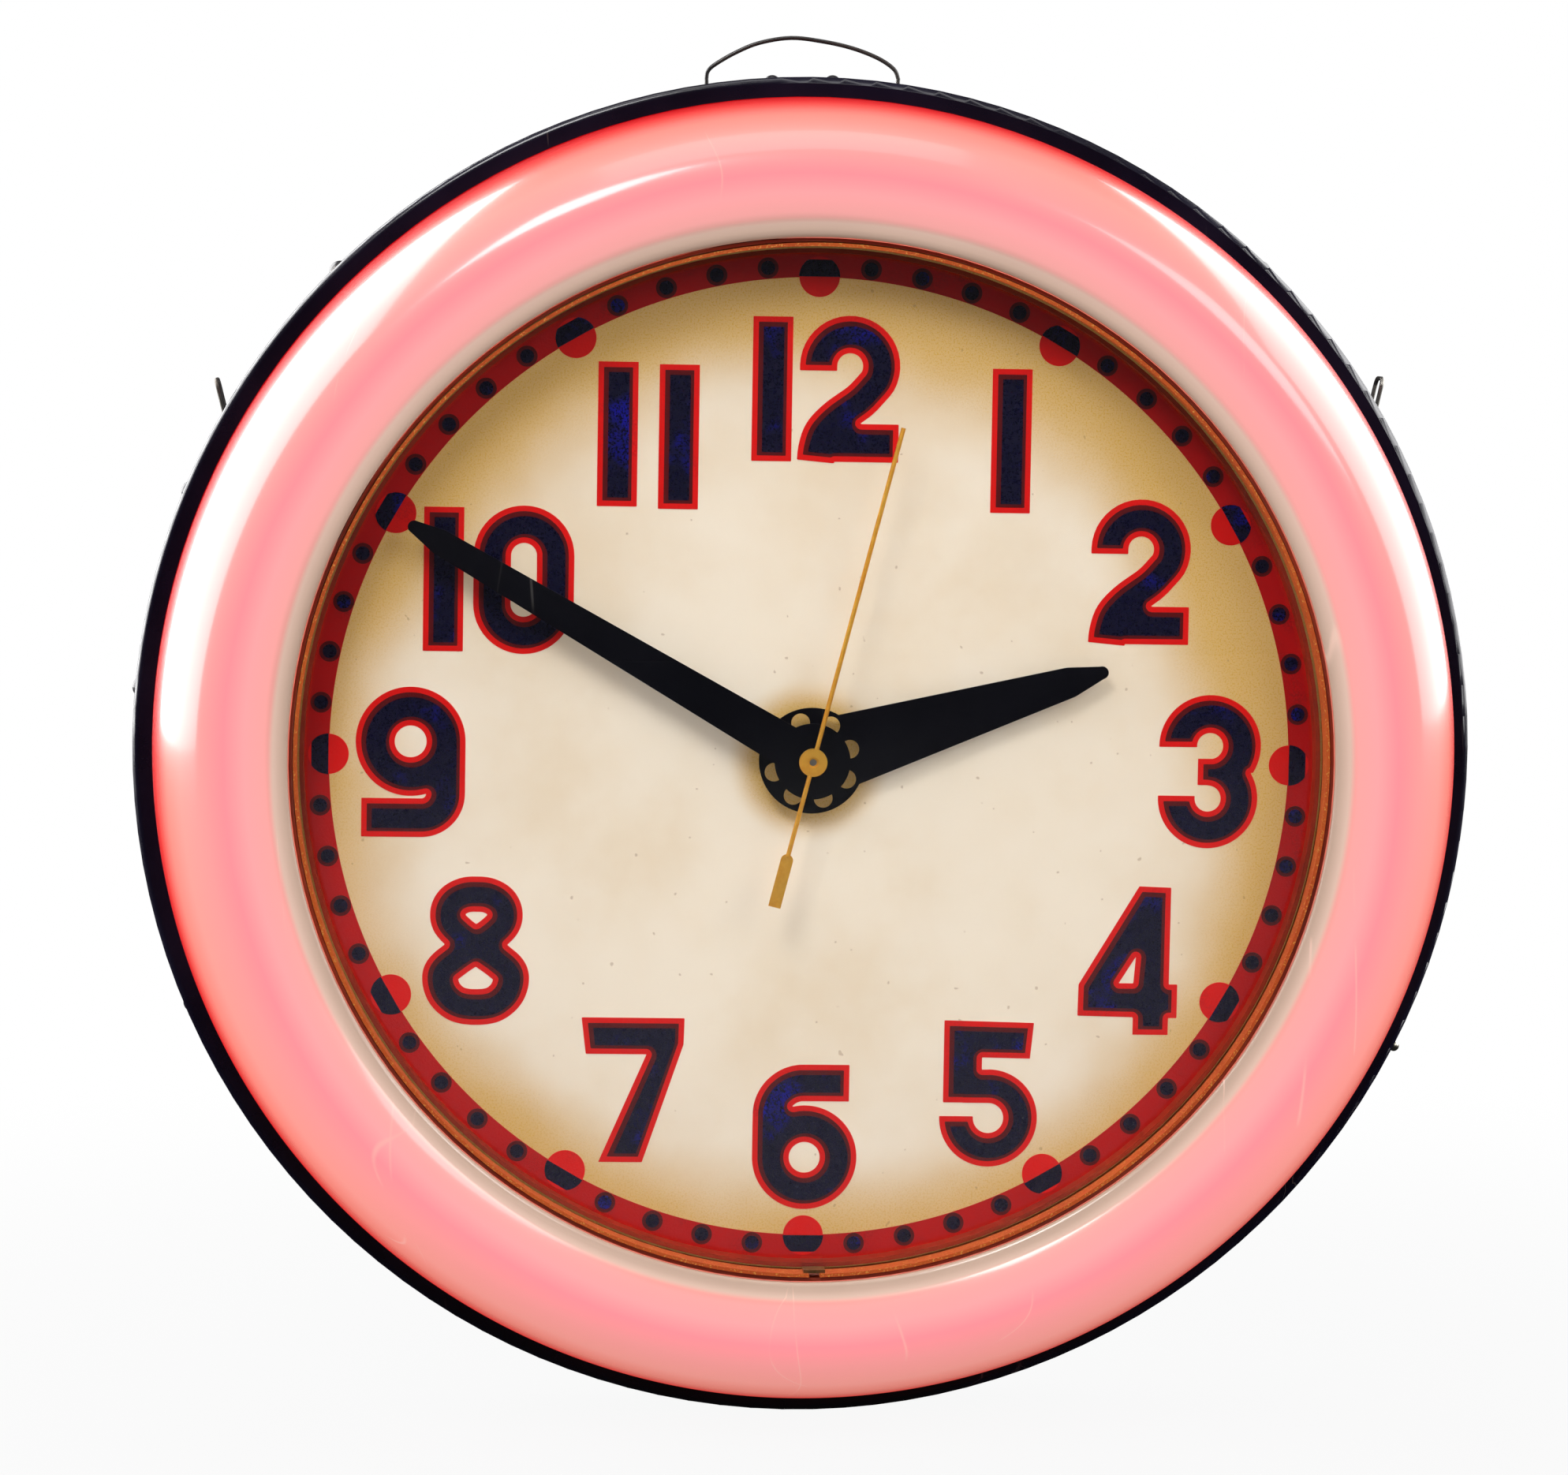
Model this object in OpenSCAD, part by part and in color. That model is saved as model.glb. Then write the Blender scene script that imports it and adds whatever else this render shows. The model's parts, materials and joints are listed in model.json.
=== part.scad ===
// Service station wall clock: a round steel case, a moulded light ring over a bent glow tube,
// a printed dial under domed glass, and a synchronous movement with three hands.
// The modules are drawn facing up, with the wall at z = 0 and the viewer at +z, and facing()
// stands them upright: the dial then looks along -Y, +Z is up and the wall face is at y = 0.

/* [Case] */
// Diameter over the front bezel
case_d = 508; // [420:1:620]
// Thickness of the spun sheet of the case
sheet_t = 1.2; // [0.8:0.1:1.5]
// Width of the bezel lip that laps over the light ring
lip_w = 7.5; // [4:0.1:9]
// Length of the bezel's side wall
bezel_h = 30; // [26:1:36]
// Depth of the case pan behind the bezel
pan_h = 44; // [42:1:54]
// How far the bezel's front stands beyond the pan's edge
bezel_lead = 8; // [8:0.5:12]
// Diameter of the rear can
can_d = 300; // [280:1:330]
// Depth of the rear can
can_h = 38.5; // [36:0.5:48]
// Thickness of the flat back cover
cover_t = 1.5; // [1:0.1:2.5]
// Angles of the bezel screws, clockwise from the top
bezel_screw_angles = [-161, -112.5, -84.5, -44, 44, 84.5, 111.5, 161];
// Diameter of a bezel screw's head
bezel_head_d = 7; // [4:0.5:10]

/* [Light ring] */
// Width of the light ring, from the bezel's lip to its inner edge
ring_w = 53.1; // [45:0.1:66]
// Rise of the ring's crest above the bezel's lip
ring_rise = 64; // [50:1:76]
// Rise of the ring's inner lip above the bezel's lip
throat_rise = 58; // [46:1:68]
// Wall of the moulded ring
ring_wall = 2.4; // [1.5:0.1:4]
// Width of the ring's flat inner lip
ring_lip_w = 5.4; // [3:0.1:8]
// Diameter of the glow tube
tube_d = 13; // [8:0.5:16]
// Number of posts under the glow tube
tube_post_count = 6; // [3:1:9]

/* [Dial and glass] */
// Distance from the ring's inner lip back to the dial
dial_depth = 22; // [20:0.5:26]
// Thickness of the dial sheet
dial_t = 1.2; // [0.8:0.1:2]
// Thickness of the glass
glass_t = 2.5; // [2:0.1:4]
// Height of the glass dome
glass_dome = 15; // [15:0.5:18]
// Height of the red spacer ring between dial and glass
spacer_h = 9; // [8.5:0.1:11]
// Gap of the split band at six o'clock
band_split = 4; // [2:0.5:8]

/* [Hands] */
// Gap between the minute hand's tip and the dial's edge
minute_gap = 18.5; // [8:0.5:40]
// Gap between the hour hand's tip and the dial's edge
hour_gap = 76.3; // [50:0.5:90]
// Gap between the second hand's tip and the dial's edge
second_gap = 63.7; // [30:0.5:90]
// Length of the second hand's tail
second_tail = 55.6; // [40:0.1:60]
// Width of the minute hand at its hub
minute_root_w = 16; // [12:0.1:20]
// Width of the minute hand at its shoulder
minute_shoulder_w = 9.4; // [6:0.1:12]
// Width of the hour hand at its hub
hour_root_w = 29.5; // [24:0.1:34]
// Width of the hour hand at its shoulder
hour_shoulder_w = 11.3; // [8:0.1:16]
// Thickness of the hand sheet
hand_t = 0.9; // [0.6:0.1:1.2]
// Minute, hour and second hand angles at rest, clockwise from the top
minute_rest = -59.2; // [-180:0.1:180]
hour_rest = 73.4; // [-180:0.1:180]
second_rest = 15.1; // [-180:0.1:180]

/* [Movement] */
// Side of the square movement plates
plate_side = 86; // [84:1:100]
// Thickness of the movement plates
plate_t = 2; // [1.5:0.1:2.5]
// Clear distance between the movement plates
plate_gap = 24; // [23.5:0.5:28]
// Diameter of the second arbor
second_arbor_d = 2.6; // [2:0.1:3]
// Outer diameter of the tubular minute arbor
minute_arbor_d = 5.2; // [4.8:0.1:5.6]
// Outer diameter of the hour pipe
hour_pipe_d = 8.4; // [8:0.1:9]
// Diameter of the hand-setting shaft
set_shaft_d = 4; // [3:0.1:5]
// Diameter of the hand-setting knob
knob_d = 26; // [18:1:30]
// Radial running clearance of every shaft
run_gap = 0.06; // [0.02:0.01:0.1]

/* [Hangers and switch] */
// Wire diameter of the top bail and the side loops
wire_d = 1.6; // [1.2:0.1:2.4]
// Width of the top bail between the centres of its legs
bail_w = 72.6; // [50:0.1:90]
// Height of the bail above the case
bail_rise = 16; // [12:0.5:24]
// Height of the bail's arch above its corners
bail_arch = 8; // [5:0.5:10]
// Swing of the bail to the front and to the back
bail_swing = 40; // [20:1:40]
// Angle of the side loops' openings, from the top
loop_angle = 59.5; // [50:0.5:75]
// Lean of the side loops away from the case's normal
loop_lean = 48; // [40:1:50]
// Most lean that the loop slots allow
loop_lean_max = 60; // [55:1:60]
// Length of a side loop outside the case
loop_out = 12.6; // [8:0.1:20]
// Distance between the legs of a side loop
loop_w = 14; // [10:0.5:16]
// Diameter of the switch's threaded bushing
bushing_d = 6; // [5:0.1:8]
// Angle of the switch, clockwise from the top
switch_angle = 116.7; // [114:0.1:124]
// Inner diameter of the cord bushing
cord_bore_d = 8; // [6:0.5:10]

/* [Hidden] */
$fn = 96;

fit = 0.1;           // gap between pieces that only lie against each other
screw_r = 2;         // shank of every case screw
screw_gap = 0.1;     // radial gap of a screw in its hole
joint_swell = 0.06;  // how far the ball at a tube's joint stands proud of it
press = 0.01;        // gap of a piece pressed on its arbor
seat = 0.02;         // gap under a screw's head
cut = 1;             // how far a hole is drawn past the sheet it pierces

// Levels from the wall towards the viewer
pan_back = cover_t + can_h;
pan_front = pan_back + pan_h;
lip_front = pan_front + bezel_lead;
throat_z = lip_front + throat_rise;
crest_z = lip_front + ring_rise;
dial_z = throat_z - dial_depth;
floor_top = dial_z - dial_t - fit;
floor_z = floor_top - sheet_t;
glass_z = dial_z + spacer_h;

// Radii from the outside in
case_r = case_d / 2;
pan_r = case_r - sheet_t - fit;
pan_in_r = pan_r - sheet_t;
can_r = can_d / 2;
lip_r = case_r - lip_w;
throat_r = lip_r - ring_w;
drum_out_r = throat_r - fit * 2;
drum_in_r = drum_out_r - sheet_t;
glass_r = drum_in_r - 0.5;
band_wall = 1.3;
spacer_wall = 1.6;
spacer_out_r = drum_in_r - 2.5;
dial_r = drum_in_r - 0.4;
post_r = 110;
post_count = 6;

// Case screws, cord bushing and the glass's band
bezel_screw_z = pan_front - 10;
can_screw_r = can_r + 8;
can_screw_count = 6;
can_flange_r = can_r + 14;
cover_flange_w = 15;
vent_w = 3;
cover_screw_r = can_r - 8;
cord_z = 20;
cord_bush_r = cord_bore_d / 2 + 2.4;
band_z = glass_z + glass_t + 0.3;

// Light ring and tube
ring_flange_t = 2.6;
ring_flange_z = lip_front - sheet_t - fit - ring_flange_t;
ring_flange_r = pan_in_r - fit;
ring_foot_r = lip_r - 0.4;
crest_r = throat_r + ring_w * 0.44;
gasket_t = 1.8;
tube_r = tube_d / 2;
tube_ring_r = throat_r + ring_w * 0.5;
tube_z = lip_front + 20;
electrode_x = 20;
electrode_a = asin(electrode_x / tube_ring_r);
elbow_r = 13;
tube_open_a = electrode_a + 180 * elbow_r / (PI * tube_ring_r);
electrode_end_z = pan_back + 34;
reflector_t = 1;
reflector_flange_z = pan_front + fit;
reflector_drop = 6;
boot_wall = 2;
boot_h = 22;
boot_r = tube_r + 0.15 + boot_wall;
lead_r = 2.6;
lead_z = pan_back + 18;
bushing_y = -100;
ht_hole_r = 7.1;

// Bail and side loops
wire_r = wire_d / 2;
slot_gap = 0.5;
pivot_in = 7;        // hinge axis of the bail and the loops below the case's surface
bail_z = pan_front - 11;
bail_x = bail_w / 2;
bail_wall_y = sqrt(case_r * case_r - bail_x * bail_x);
bail_pivot_y = bail_wall_y - 4.4;
bail_top_y = case_r + bail_rise - wire_r;
bail_corner_r = 4;
bail_foot = 8;         // length of each inward foot
ear_t = 1.6;
bracket_t = 1.2;
loop_pivot_r = case_r - pivot_in;
loop_pivot_a = loop_angle + asin(pivot_in * tan(loop_lean) / case_r);
loop_z_low = pan_front - 18;
loop_z_high = loop_z_low + loop_w;
loop_mid_z = (loop_z_low + loop_z_high) / 2;
loop_len = pivot_in / cos(loop_lean) + loop_out - wire_r;
rivet_a = 2.6;       // bail bracket rivets, each side of the top
bracket_screw_a = 67;

// Switch
switch_z = pan_front - 14;
bushing_r = bushing_d / 2;
nut_h = 1.6;
lever_ball_r = 2.1;
lever_out = 4.6;     // centre of the lever's ball beyond the case
lever_pivot_in = 5;
lever_throw = 24;
lever_pin_r = 0.6;     // pin that the lever turns on
lever_pin_len = 5;
switch_len = 26;
switch_w = 13;
switch_h = 14;

// Movement levels
front_plate_z = floor_z - 15.5 - plate_t;
back_plate_z = front_plate_z - plate_gap - plate_t;
hand_step = 4;
hour_hand_z = dial_z + hand_step;
minute_hand_z = hour_hand_z + hand_step;
second_hand_z = minute_hand_z + hand_step;
second_arbor_r = second_arbor_d / 2;
minute_arbor_r = minute_arbor_d / 2;
hour_pipe_r = hour_pipe_d / 2;
set_shaft_r = set_shaft_d / 2;

// Wheel trains: teeth, modules and centre distances
going_module = 0.6;
second_pinion_n = 8;
idler_n = 60;
idler_pinion_n = 8;
clutch_n = 64;
idler_dist = going_module * (second_pinion_n + idler_n) / 2;
clutch_module = idler_dist * 2 / (idler_pinion_n + clutch_n);
idler_dir = 150;
second_wheel_n = 36;
motor_pinion_n = 12;
motor_dist = going_module * (second_wheel_n + motor_pinion_n) / 2;
motion_module = 0.75;
cannon_n = 12;
minute_wheel_n = 36;
motion_pinion_n = 10;
hour_wheel_n = 40;
motion_dist = motion_module * (cannon_n + minute_wheel_n) / 2;
hour_module = motion_dist * 2 / (motion_pinion_n + hour_wheel_n);
set_gear_n = 18;
set_dist = motion_dist + motion_module * (minute_wheel_n + set_gear_n) / 2;

// Setting knob, and the corners of the movement plates
knob_h = 12;
well_wall = 1.2;
finger_gap = 7;      // room for the fingers round the knob
well_r = knob_d / 2 + finger_gap;
well_depth = knob_h + 4;
corner_at = plate_side / 2 - 6;
stud_r = 1.3;
pillar_r = 3.5;
nut_t = 2.4;
motor_shaft_r = 1.5;
motion_pin_r = 1.5;
idler_arbor_r = 1.2;
idler_x = idler_dist * cos(idler_dir);
idler_y = idler_dist * sin(idler_dir);

// Levels of the wheels between and in front of the plates
second_wheel_z = back_plate_z + plate_t + 4;
second_pinion_z = second_wheel_z + 7;
idler_wheel_z = second_pinion_z + 0.8;
minute_arbor_z = second_pinion_z + 4.2;
clutch_wheel_z = minute_arbor_z + 3.6;
motion_z = front_plate_z + plate_t + 2;

// Motor: rotor can, field plates and coil
motor_can_r = 19;
field_t = 12;
field_z = back_plate_z - 18;
field_w = 60;
field_len = 76;
coil_y = motor_dist + 41.5;
coil_r = 13.5;
coil_len = 35;

// Hands
hand_tip_r = 2.35;
minute_hub_r = 14.1;
hour_hub_r = 19.7;
hub_hole_r = 3.5;
hub_hole_at = 14.7;

// Transformer
core_w = 84;
core_len = 62;
core_t = 24;
core_y = bushing_y;
core_back_z = pan_back - core_t - 5;
limb_w = 14;
mid_limb_w = limb_w * 1.4;
coil_w = core_w - 2 * limb_w - 2;
frame_screw_x = core_w / 2 + 9;
frame_screw_y = 14;
wire_hole_x = 70;
wire_hole_y = -60;
wire_hole_r = 7;

// Stands the drawing upright, with the dial facing the viewer
module facing() rotate([90, 0, 0]) children();

// Puts something at an angle clockwise from the top, pointing outward along its own +y
module at_clock(a) rotate([0, 0, -a]) children();

module tube(r_out, r_in, h) difference() {
    cylinder(r = r_out, h = h);
    translate([0, 0, -1]) cylinder(r = r_in, h = h + 2);
}

// Radial cylinder through the case wall, from radius r0 to r1
module radial(r, r0, r1) translate([0, r0, 0]) rotate([-90, 0, 0]) cylinder(r = r, h = r1 - r0);

// Dome of a given radius and height, standing on z = 0
module dome(r, h) {
    ball = (r * r + h * h) / (2 * h);
    intersection() {
        translate([0, 0, h - ball]) sphere(r = ball);
        cylinder(r = r, h = h);
    }
}

// Straight rod between two points
module rod(a, b, r) {
    d = b - a;
    len = norm(d);
    translate(a) rotate([0, acos(d[2] / len), atan2(d[1], d[0])]) cylinder(r = r, h = len, $fn = 32);
}

// Wire through a list of points, with a slightly larger ball at each bend
module wire(points, r) {
    for (i = [1 : len(points) - 1]) rod(points[i - 1], points[i], r);
    for (i = [1 : len(points) - 2]) translate(points[i]) sphere(r = r * 1.2, $fn = 32);
}

// Gear outline: n stub teeth of module m, with a tooth centred on the angle first
function tooth(n, m, a) =
    let (root = n * m / 2 - 1.05 * m, tip = n * m / 2 + 0.72 * m,
         half_root = 0.30 * PI * m / root * 180 / PI,
         half_tip = 0.105 * PI * m / tip * 180 / PI)
    [[root, a - half_root], [tip, a - half_tip], [tip, a + half_tip], [root, a + half_root]];
function gear_points(n, m, first) =
    [for (k = [0 : n - 1]) for (p = tooth(n, m, first + k * 360 / n)) [p[0] * cos(p[1]), p[0] * sin(p[1])]];
module gear(n, m, h, first) linear_extrude(height = h) polygon(gear_points(n, m, first));

// Wheel cut out between its spokes
module spokes(r_in, r_out, count, h, w) difference() {
    translate([0, 0, -1]) difference() {
        cylinder(r = r_out, h = h + 2);
        translate([0, 0, -1]) cylinder(r = r_in, h = h + 4);
    }
    for (i = [0 : count - 1])
        rotate([0, 0, i * 360 / count]) translate([0, -w / 2, -2]) cube([r_out + 1, w, h + 4]);
}

// Hole of radius r through both side walls, at a clock angle and a level
module wall_hole(a, z, r) at_clock(a) translate([0, 0, z]) radial(r + screw_gap, pan_in_r - 3, case_r + 3);

// Holes for the case screws and rivets, through both side walls
module wall_holes() {
    for (a = bezel_screw_angles) wall_hole(a, bezel_screw_z, screw_r);
    for (a = [-rivet_a, rivet_a]) wall_hole(a, bail_z, screw_r);
    for (a = [-bracket_screw_a, bracket_screw_a]) wall_hole(a, loop_mid_z, screw_r);
    wall_hole(switch_angle, switch_z, bushing_r);
}

// Slots that the bail's and the loops' legs swing in
module leg_slots() {
    slot_h = 9;
    half = (bail_wall_y - bail_pivot_y) * tan(bail_swing) + wire_r / cos(bail_swing) + slot_gap;
    for (s = [-1, 1])
        translate([s * bail_x - wire_r - slot_gap, bail_pivot_y + 1, bail_z - half])
            cube([2 * (wire_r + slot_gap), slot_h, 2 * half]);
    reach = pivot_in * tan(loop_lean_max) + wire_r / cos(loop_lean_max) + slot_gap;
    for (s = [-1, 1]) for (z = [loop_z_low, loop_z_high])
        at_clock(s * loop_pivot_a)
            translate([s > 0 ? -reach : -wire_r - slot_gap, loop_pivot_r + 1, z - wire_r - slot_gap])
                cube([reach + wire_r + slot_gap, slot_h, 2 * (wire_r + slot_gap)]);
}

// Hole of radius r through a sheet of thickness t that starts at z = 0
module hole(r, t) translate([0, 0, -cut]) cylinder(r = r, h = t + 2 * cut);

// Places of the screws that hold the rear can, the back cover and the transformer's frame
module at_can_screws() for (i = [0 : can_screw_count - 1])
    rotate([0, 0, (i + 0.5) * 360 / can_screw_count]) translate([can_screw_r, 0, 0]) children();
module at_cover_screws() for (i = [0 : can_screw_count - 1])
    rotate([0, 0, i * 360 / can_screw_count]) translate([cover_screw_r, 0, 0]) children();
module at_frame_screws() for (s = [-1, 1]) for (t = [-1, 1])
    translate([s * frame_screw_x, core_y + t * frame_screw_y, 0]) children();

// Round holes in the pan's floor: shaft, high-tension leads, wires, can screws and frame screws
module pan_floor_holes() translate([0, 0, pan_back]) {
    translate([0, -set_dist, 0]) hole(set_shaft_r + 2, sheet_t);
    for (s = [-1, 1]) translate([s * electrode_x, bushing_y, 0]) hole(ht_hole_r, sheet_t);
    translate([wire_hole_x, wire_hole_y, 0]) hole(wire_hole_r, sheet_t);
    at_can_screws() hole(screw_r + screw_gap, sheet_t);
    at_frame_screws() hole(screw_r + screw_gap, sheet_t);
}

module case_pan() color([0.07, 0.07, 0.09]) difference() {
    corner = 6;
    rotate_extrude($fn = 192) difference() {
        union() {
            translate([0, pan_back]) square([pan_r - corner, pan_h]);
            translate([0, pan_back + corner]) square([pan_r, pan_h - corner]);
            translate([pan_r - corner, pan_back + corner]) circle(r = corner);
        }
        translate([-1, pan_back + sheet_t]) square([pan_r - corner + 1, pan_h]);
        translate([-1, pan_back + corner]) square([pan_in_r + 1, pan_h]);
        translate([pan_r - corner, pan_back + corner]) circle(r = corner - sheet_t);
    }
    pan_floor_holes();
    wall_holes();
    leg_slots();
}

module front_bezel() color([0.05, 0.05, 0.07]) difference() {
    edge = 2.4;
    low = lip_front - bezel_h;
    inner_r = lip_r - cut;
    rotate_extrude($fn = 192) difference() {
        union() {
            translate([lip_r, low]) square([case_r - lip_r, bezel_h - edge]);
            translate([lip_r, low]) square([case_r - lip_r - edge, bezel_h]);
            translate([case_r - edge, lip_front - edge]) circle(r = edge);
        }
        translate([inner_r, low - cut]) square([case_r - sheet_t - inner_r, bezel_h + cut - edge]);
        translate([inner_r, low - cut]) square([case_r - edge - inner_r, bezel_h + cut - sheet_t]);
        translate([case_r - edge, lip_front - edge]) circle(r = edge - sheet_t);
    }
    wall_holes();
    leg_slots();
}

// Dome-headed screw through the case wall
module wall_screw(head_r, head_h) {
    radial(screw_r, pan_in_r - 5, case_r + 0.2);
    translate([0, case_r + seat, 0]) rotate([-90, 0, 0]) dome(head_r, head_h);
}

module bezel_screws() color([0.12, 0.12, 0.14])
    for (a = bezel_screw_angles)
        at_clock(a) translate([0, 0, bezel_screw_z]) wall_screw(bezel_head_d / 2, 1.9);

module rear_can() color([0.1, 0.1, 0.12]) difference() {
    union() {
        translate([0, 0, cover_t + fit]) tube(can_r, can_r - sheet_t, can_h - 2 * fit, $fn = 192);
        translate([0, 0, pan_back - fit - sheet_t]) tube(can_flange_r, can_r - sheet_t, sheet_t);
        translate([0, 0, cover_t + fit]) tube(can_r - 0.4, can_r - cover_flange_w, sheet_t);
    }
    translate([0, 0, pan_back - fit - sheet_t]) at_can_screws() hole(screw_r + screw_gap, sheet_t);
    translate([0, 0, cover_t + fit]) at_cover_screws() hole(screw_r + screw_gap, sheet_t);
    at_clock(180) translate([0, 0, cord_z]) radial(cord_bush_r + screw_gap, can_r - 8, can_r + 4);
    for (i = [-4 : 4])
        at_clock(i * 5) translate([-vent_w / 2, can_r - 5, pan_back / 2 - 8]) cube([vent_w, 10, 16]);
}

module can_screws() color([0.55, 0.55, 0.56])
    translate([0, 0, pan_back - fit - sheet_t]) at_can_screws() {
        translate([0, 0, -seat]) mirror([0, 0, 1]) dome(4, 2);
        translate([0, 0, -0.5]) cylinder(r = screw_r, h = 7);
    }

// Flat cover, with a well for the hand-setting knob and rows of vent slots
module back_cover() color([0.1, 0.1, 0.12]) difference() {
    union() {
        cylinder(r = can_r, h = cover_t, $fn = 192);
        translate([0, -set_dist, 0]) cylinder(r = well_r + well_wall, h = well_depth + well_wall);
    }
    translate([0, -set_dist, -1]) cylinder(r = well_r, h = well_depth + 1);
    translate([0, -set_dist, 0]) cylinder(r = set_shaft_r + run_gap, h = well_depth + 3);
    at_cover_screws() {
        translate([0, 0, -0.01]) cylinder(r1 = 4.3, r2 = 2.1, h = 1.25);
        hole(screw_r + screw_gap, cover_t);
    }
    for (s = [-1, 1]) for (i = [-3 : 3])
        translate([s * 85 - 20, 40 + i * 8 - vent_w / 2, -cut]) cube([40, vent_w, cover_t + 2 * cut]);
}

module cover_screws() color([0.55, 0.55, 0.56]) at_cover_screws() {
    difference() {
        translate([0, 0, 0.05]) cylinder(r1 = 4.1, r2 = 2, h = 1.2);
        translate([-5, -0.5, -0.5]) cube([10, 1, 1]);
    }
    translate([0, 0, 1.2]) cylinder(r = screw_r, h = 6);
}

// Rubber bushing in the bottom of the can, where a supply lead enters
module cord_bushing() color([0.04, 0.04, 0.04])
    at_clock(180) translate([0, 0, cord_z]) difference() {
        union() {
            radial(cord_bush_r, can_r - 5, can_r + 2.5);
            radial(cord_bush_r + 2, can_r + 0.4, can_r + 2.9);
            radial(cord_bush_r + 2, can_r - 5.4, can_r - sheet_t - 0.4);
        }
        radial(cord_bore_d / 2, can_r - 7, can_r + 4);
    }

// Half-round section of the light ring: outer quarter, crest, then the gentle inner fall
function ring_outer(inset) = [for (a = [0 : 7.5 : 90])
    [crest_r + (ring_foot_r - crest_r - inset) * cos(a), lip_front + (ring_rise - inset) * sin(a)]];
function ring_inner(inset) =
    let (fall = (ring_rise - throat_rise - 1) / (1 - sin(138.6)),
         reach = (crest_r - throat_r - ring_lip_w) / cos(138.6))
    [for (a = [99.6 : 9.75 : 138.7]) [crest_r - reach * cos(a), crest_z - inset - fall * (1 - sin(a))]];
module glow_ring() color([1, 0.72, 0.68]) rotate_extrude($fn = 192) polygon(concat(
    [[ring_flange_r, ring_flange_z], [ring_flange_r, ring_flange_z + ring_flange_t],
     [ring_foot_r, ring_flange_z + ring_flange_t]],
    ring_outer(0), ring_inner(0),
    [[throat_r, throat_z], [throat_r, throat_z - ring_wall],
     [throat_r + ring_lip_w, throat_z + 1 - ring_wall]],
    [for (i = [4 : -1 : 0]) ring_inner(ring_wall)[i]],
    [for (i = [12 : -1 : 0]) ring_outer(ring_wall)[i]],
    [[ring_foot_r - ring_wall, ring_flange_z]]));

module ring_gasket() color([0.08, 0.08, 0.08])
    translate([0, 0, ring_flange_z - fit / 2 - gasket_t])
        tube(ring_flange_r, ring_foot_r - 1.5, gasket_t, $fn = 192);

// White painted dish behind the glow tube
module reflector() color([0.93, 0.92, 0.88]) difference() {
    inner = drum_out_r + 0.6;
    low = reflector_flange_z - reflector_drop;
    outer = ring_foot_r - 2;
    rotate_extrude($fn = 192) polygon([
        [inner, reflector_flange_z], [inner + 8, low], [outer - 8, low], [outer, reflector_flange_z],
        [ring_flange_r, reflector_flange_z], [ring_flange_r, reflector_flange_z + reflector_t],
        [outer - 0.5, reflector_flange_z + reflector_t], [outer - 8.5, low + reflector_t],
        [inner + 8.5, low + reflector_t], [inner + 0.5, reflector_flange_z + reflector_t],
        [inner, reflector_flange_z + reflector_t]]);
    for (s = [-1, 1]) place_electrode(s)
        translate([0, 0, pan_back]) cylinder(r = boot_r + 0.6, h = pan_h + 10);
}

// Glow tube: one bent glass ring whose two ends turn back through the reflector
module neon_tube() color([1, 0.45, 0.35]) {
    translate([0, 0, tube_z]) rotate([0, 0, -90 + tube_open_a])
        rotate_extrude(angle = 360 - 2 * tube_open_a, $fn = 128)
            translate([tube_ring_r, 0]) circle(r = tube_r, $fn = 48);
    for (s = [-1, 1])
        rotate([0, 0, -90 + s * tube_open_a]) translate([tube_ring_r, 0, tube_z - elbow_r]) {
            mirror([0, s > 0 ? 1 : 0, 0]) rotate([0, -90, 0])
                rotate_extrude(angle = 90, $fn = 64) translate([elbow_r, 0]) circle(r = tube_r, $fn = 48);
            translate([0, 0, elbow_r]) sphere(r = tube_r + joint_swell);
            translate([0, -s * elbow_r, 0]) sphere(r = tube_r + joint_swell);
            translate([0, -s * elbow_r, electrode_end_z - tube_z + elbow_r])
                cylinder(r = tube_r, h = tube_z - elbow_r - electrode_end_z);
        }
}

module place_electrode(s)
    rotate([0, 0, -90 + s * tube_open_a]) translate([tube_ring_r, -s * elbow_r, 0]) children();

module tube_supports() color([0.85, 0.86, 0.82]) {
    low = reflector_flange_z - reflector_drop + reflector_t + fit;
    clip_in = tube_r + 0.2;
    clip_t = 1.4;
    clip_w = 6;
    for (i = [0 : tube_post_count - 1])
        at_clock(i * 360 / tube_post_count) translate([0, tube_ring_r, 0]) {
            translate([0, 0, low]) cylinder(r = 6, h = 2);
            translate([0, 0, low]) cylinder(r = 2.6, h = tube_z - tube_r - low - 0.6);
            translate([clip_w / 2, 0, tube_z]) rotate([0, -90, 0]) rotate([0, 0, 120])
                rotate_extrude(angle = 300, $fn = 64) translate([clip_in, 0]) square([clip_t, clip_w]);
        }
}

module electrode_boots() color([0.5, 0.12, 0.08])
    for (s = [-1, 1]) place_electrode(s) difference() {
        translate([0, 0, electrode_end_z - 8]) cylinder(r = boot_r, h = boot_h - 4);
        translate([0, 0, electrode_end_z - fit]) cylinder(r = tube_r + 0.15, h = boot_h);
    }

// Insulated leads from the electrodes to the bushings above the transformer
module ht_leads() color([0.55, 0.1, 0.07])
    for (s = [-1, 1]) {
        a = -90 + s * tube_open_a;
        ex = tube_ring_r * cos(a) + s * elbow_r * sin(a);
        ey = tube_ring_r * sin(a) - s * elbow_r * cos(a);
        wire([[ex, ey, electrode_end_z - 8 - fit], [ex, ey, lead_z], [s * electrode_x, bushing_y, lead_z],
              [s * electrode_x, bushing_y, pan_back + 8 + fit]], lead_r);
    }

module ht_bushings() color([0.9, 0.88, 0.82])
    for (s = [-1, 1]) translate([s * electrode_x, bushing_y, pan_back]) {
        translate([0, 0, -0.6]) cylinder(r = ht_hole_r - screw_gap, h = 8.6);
        translate([0, 0, sheet_t + fit]) cylinder(r = ht_hole_r + 2.5, h = 2.5);
    }

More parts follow.
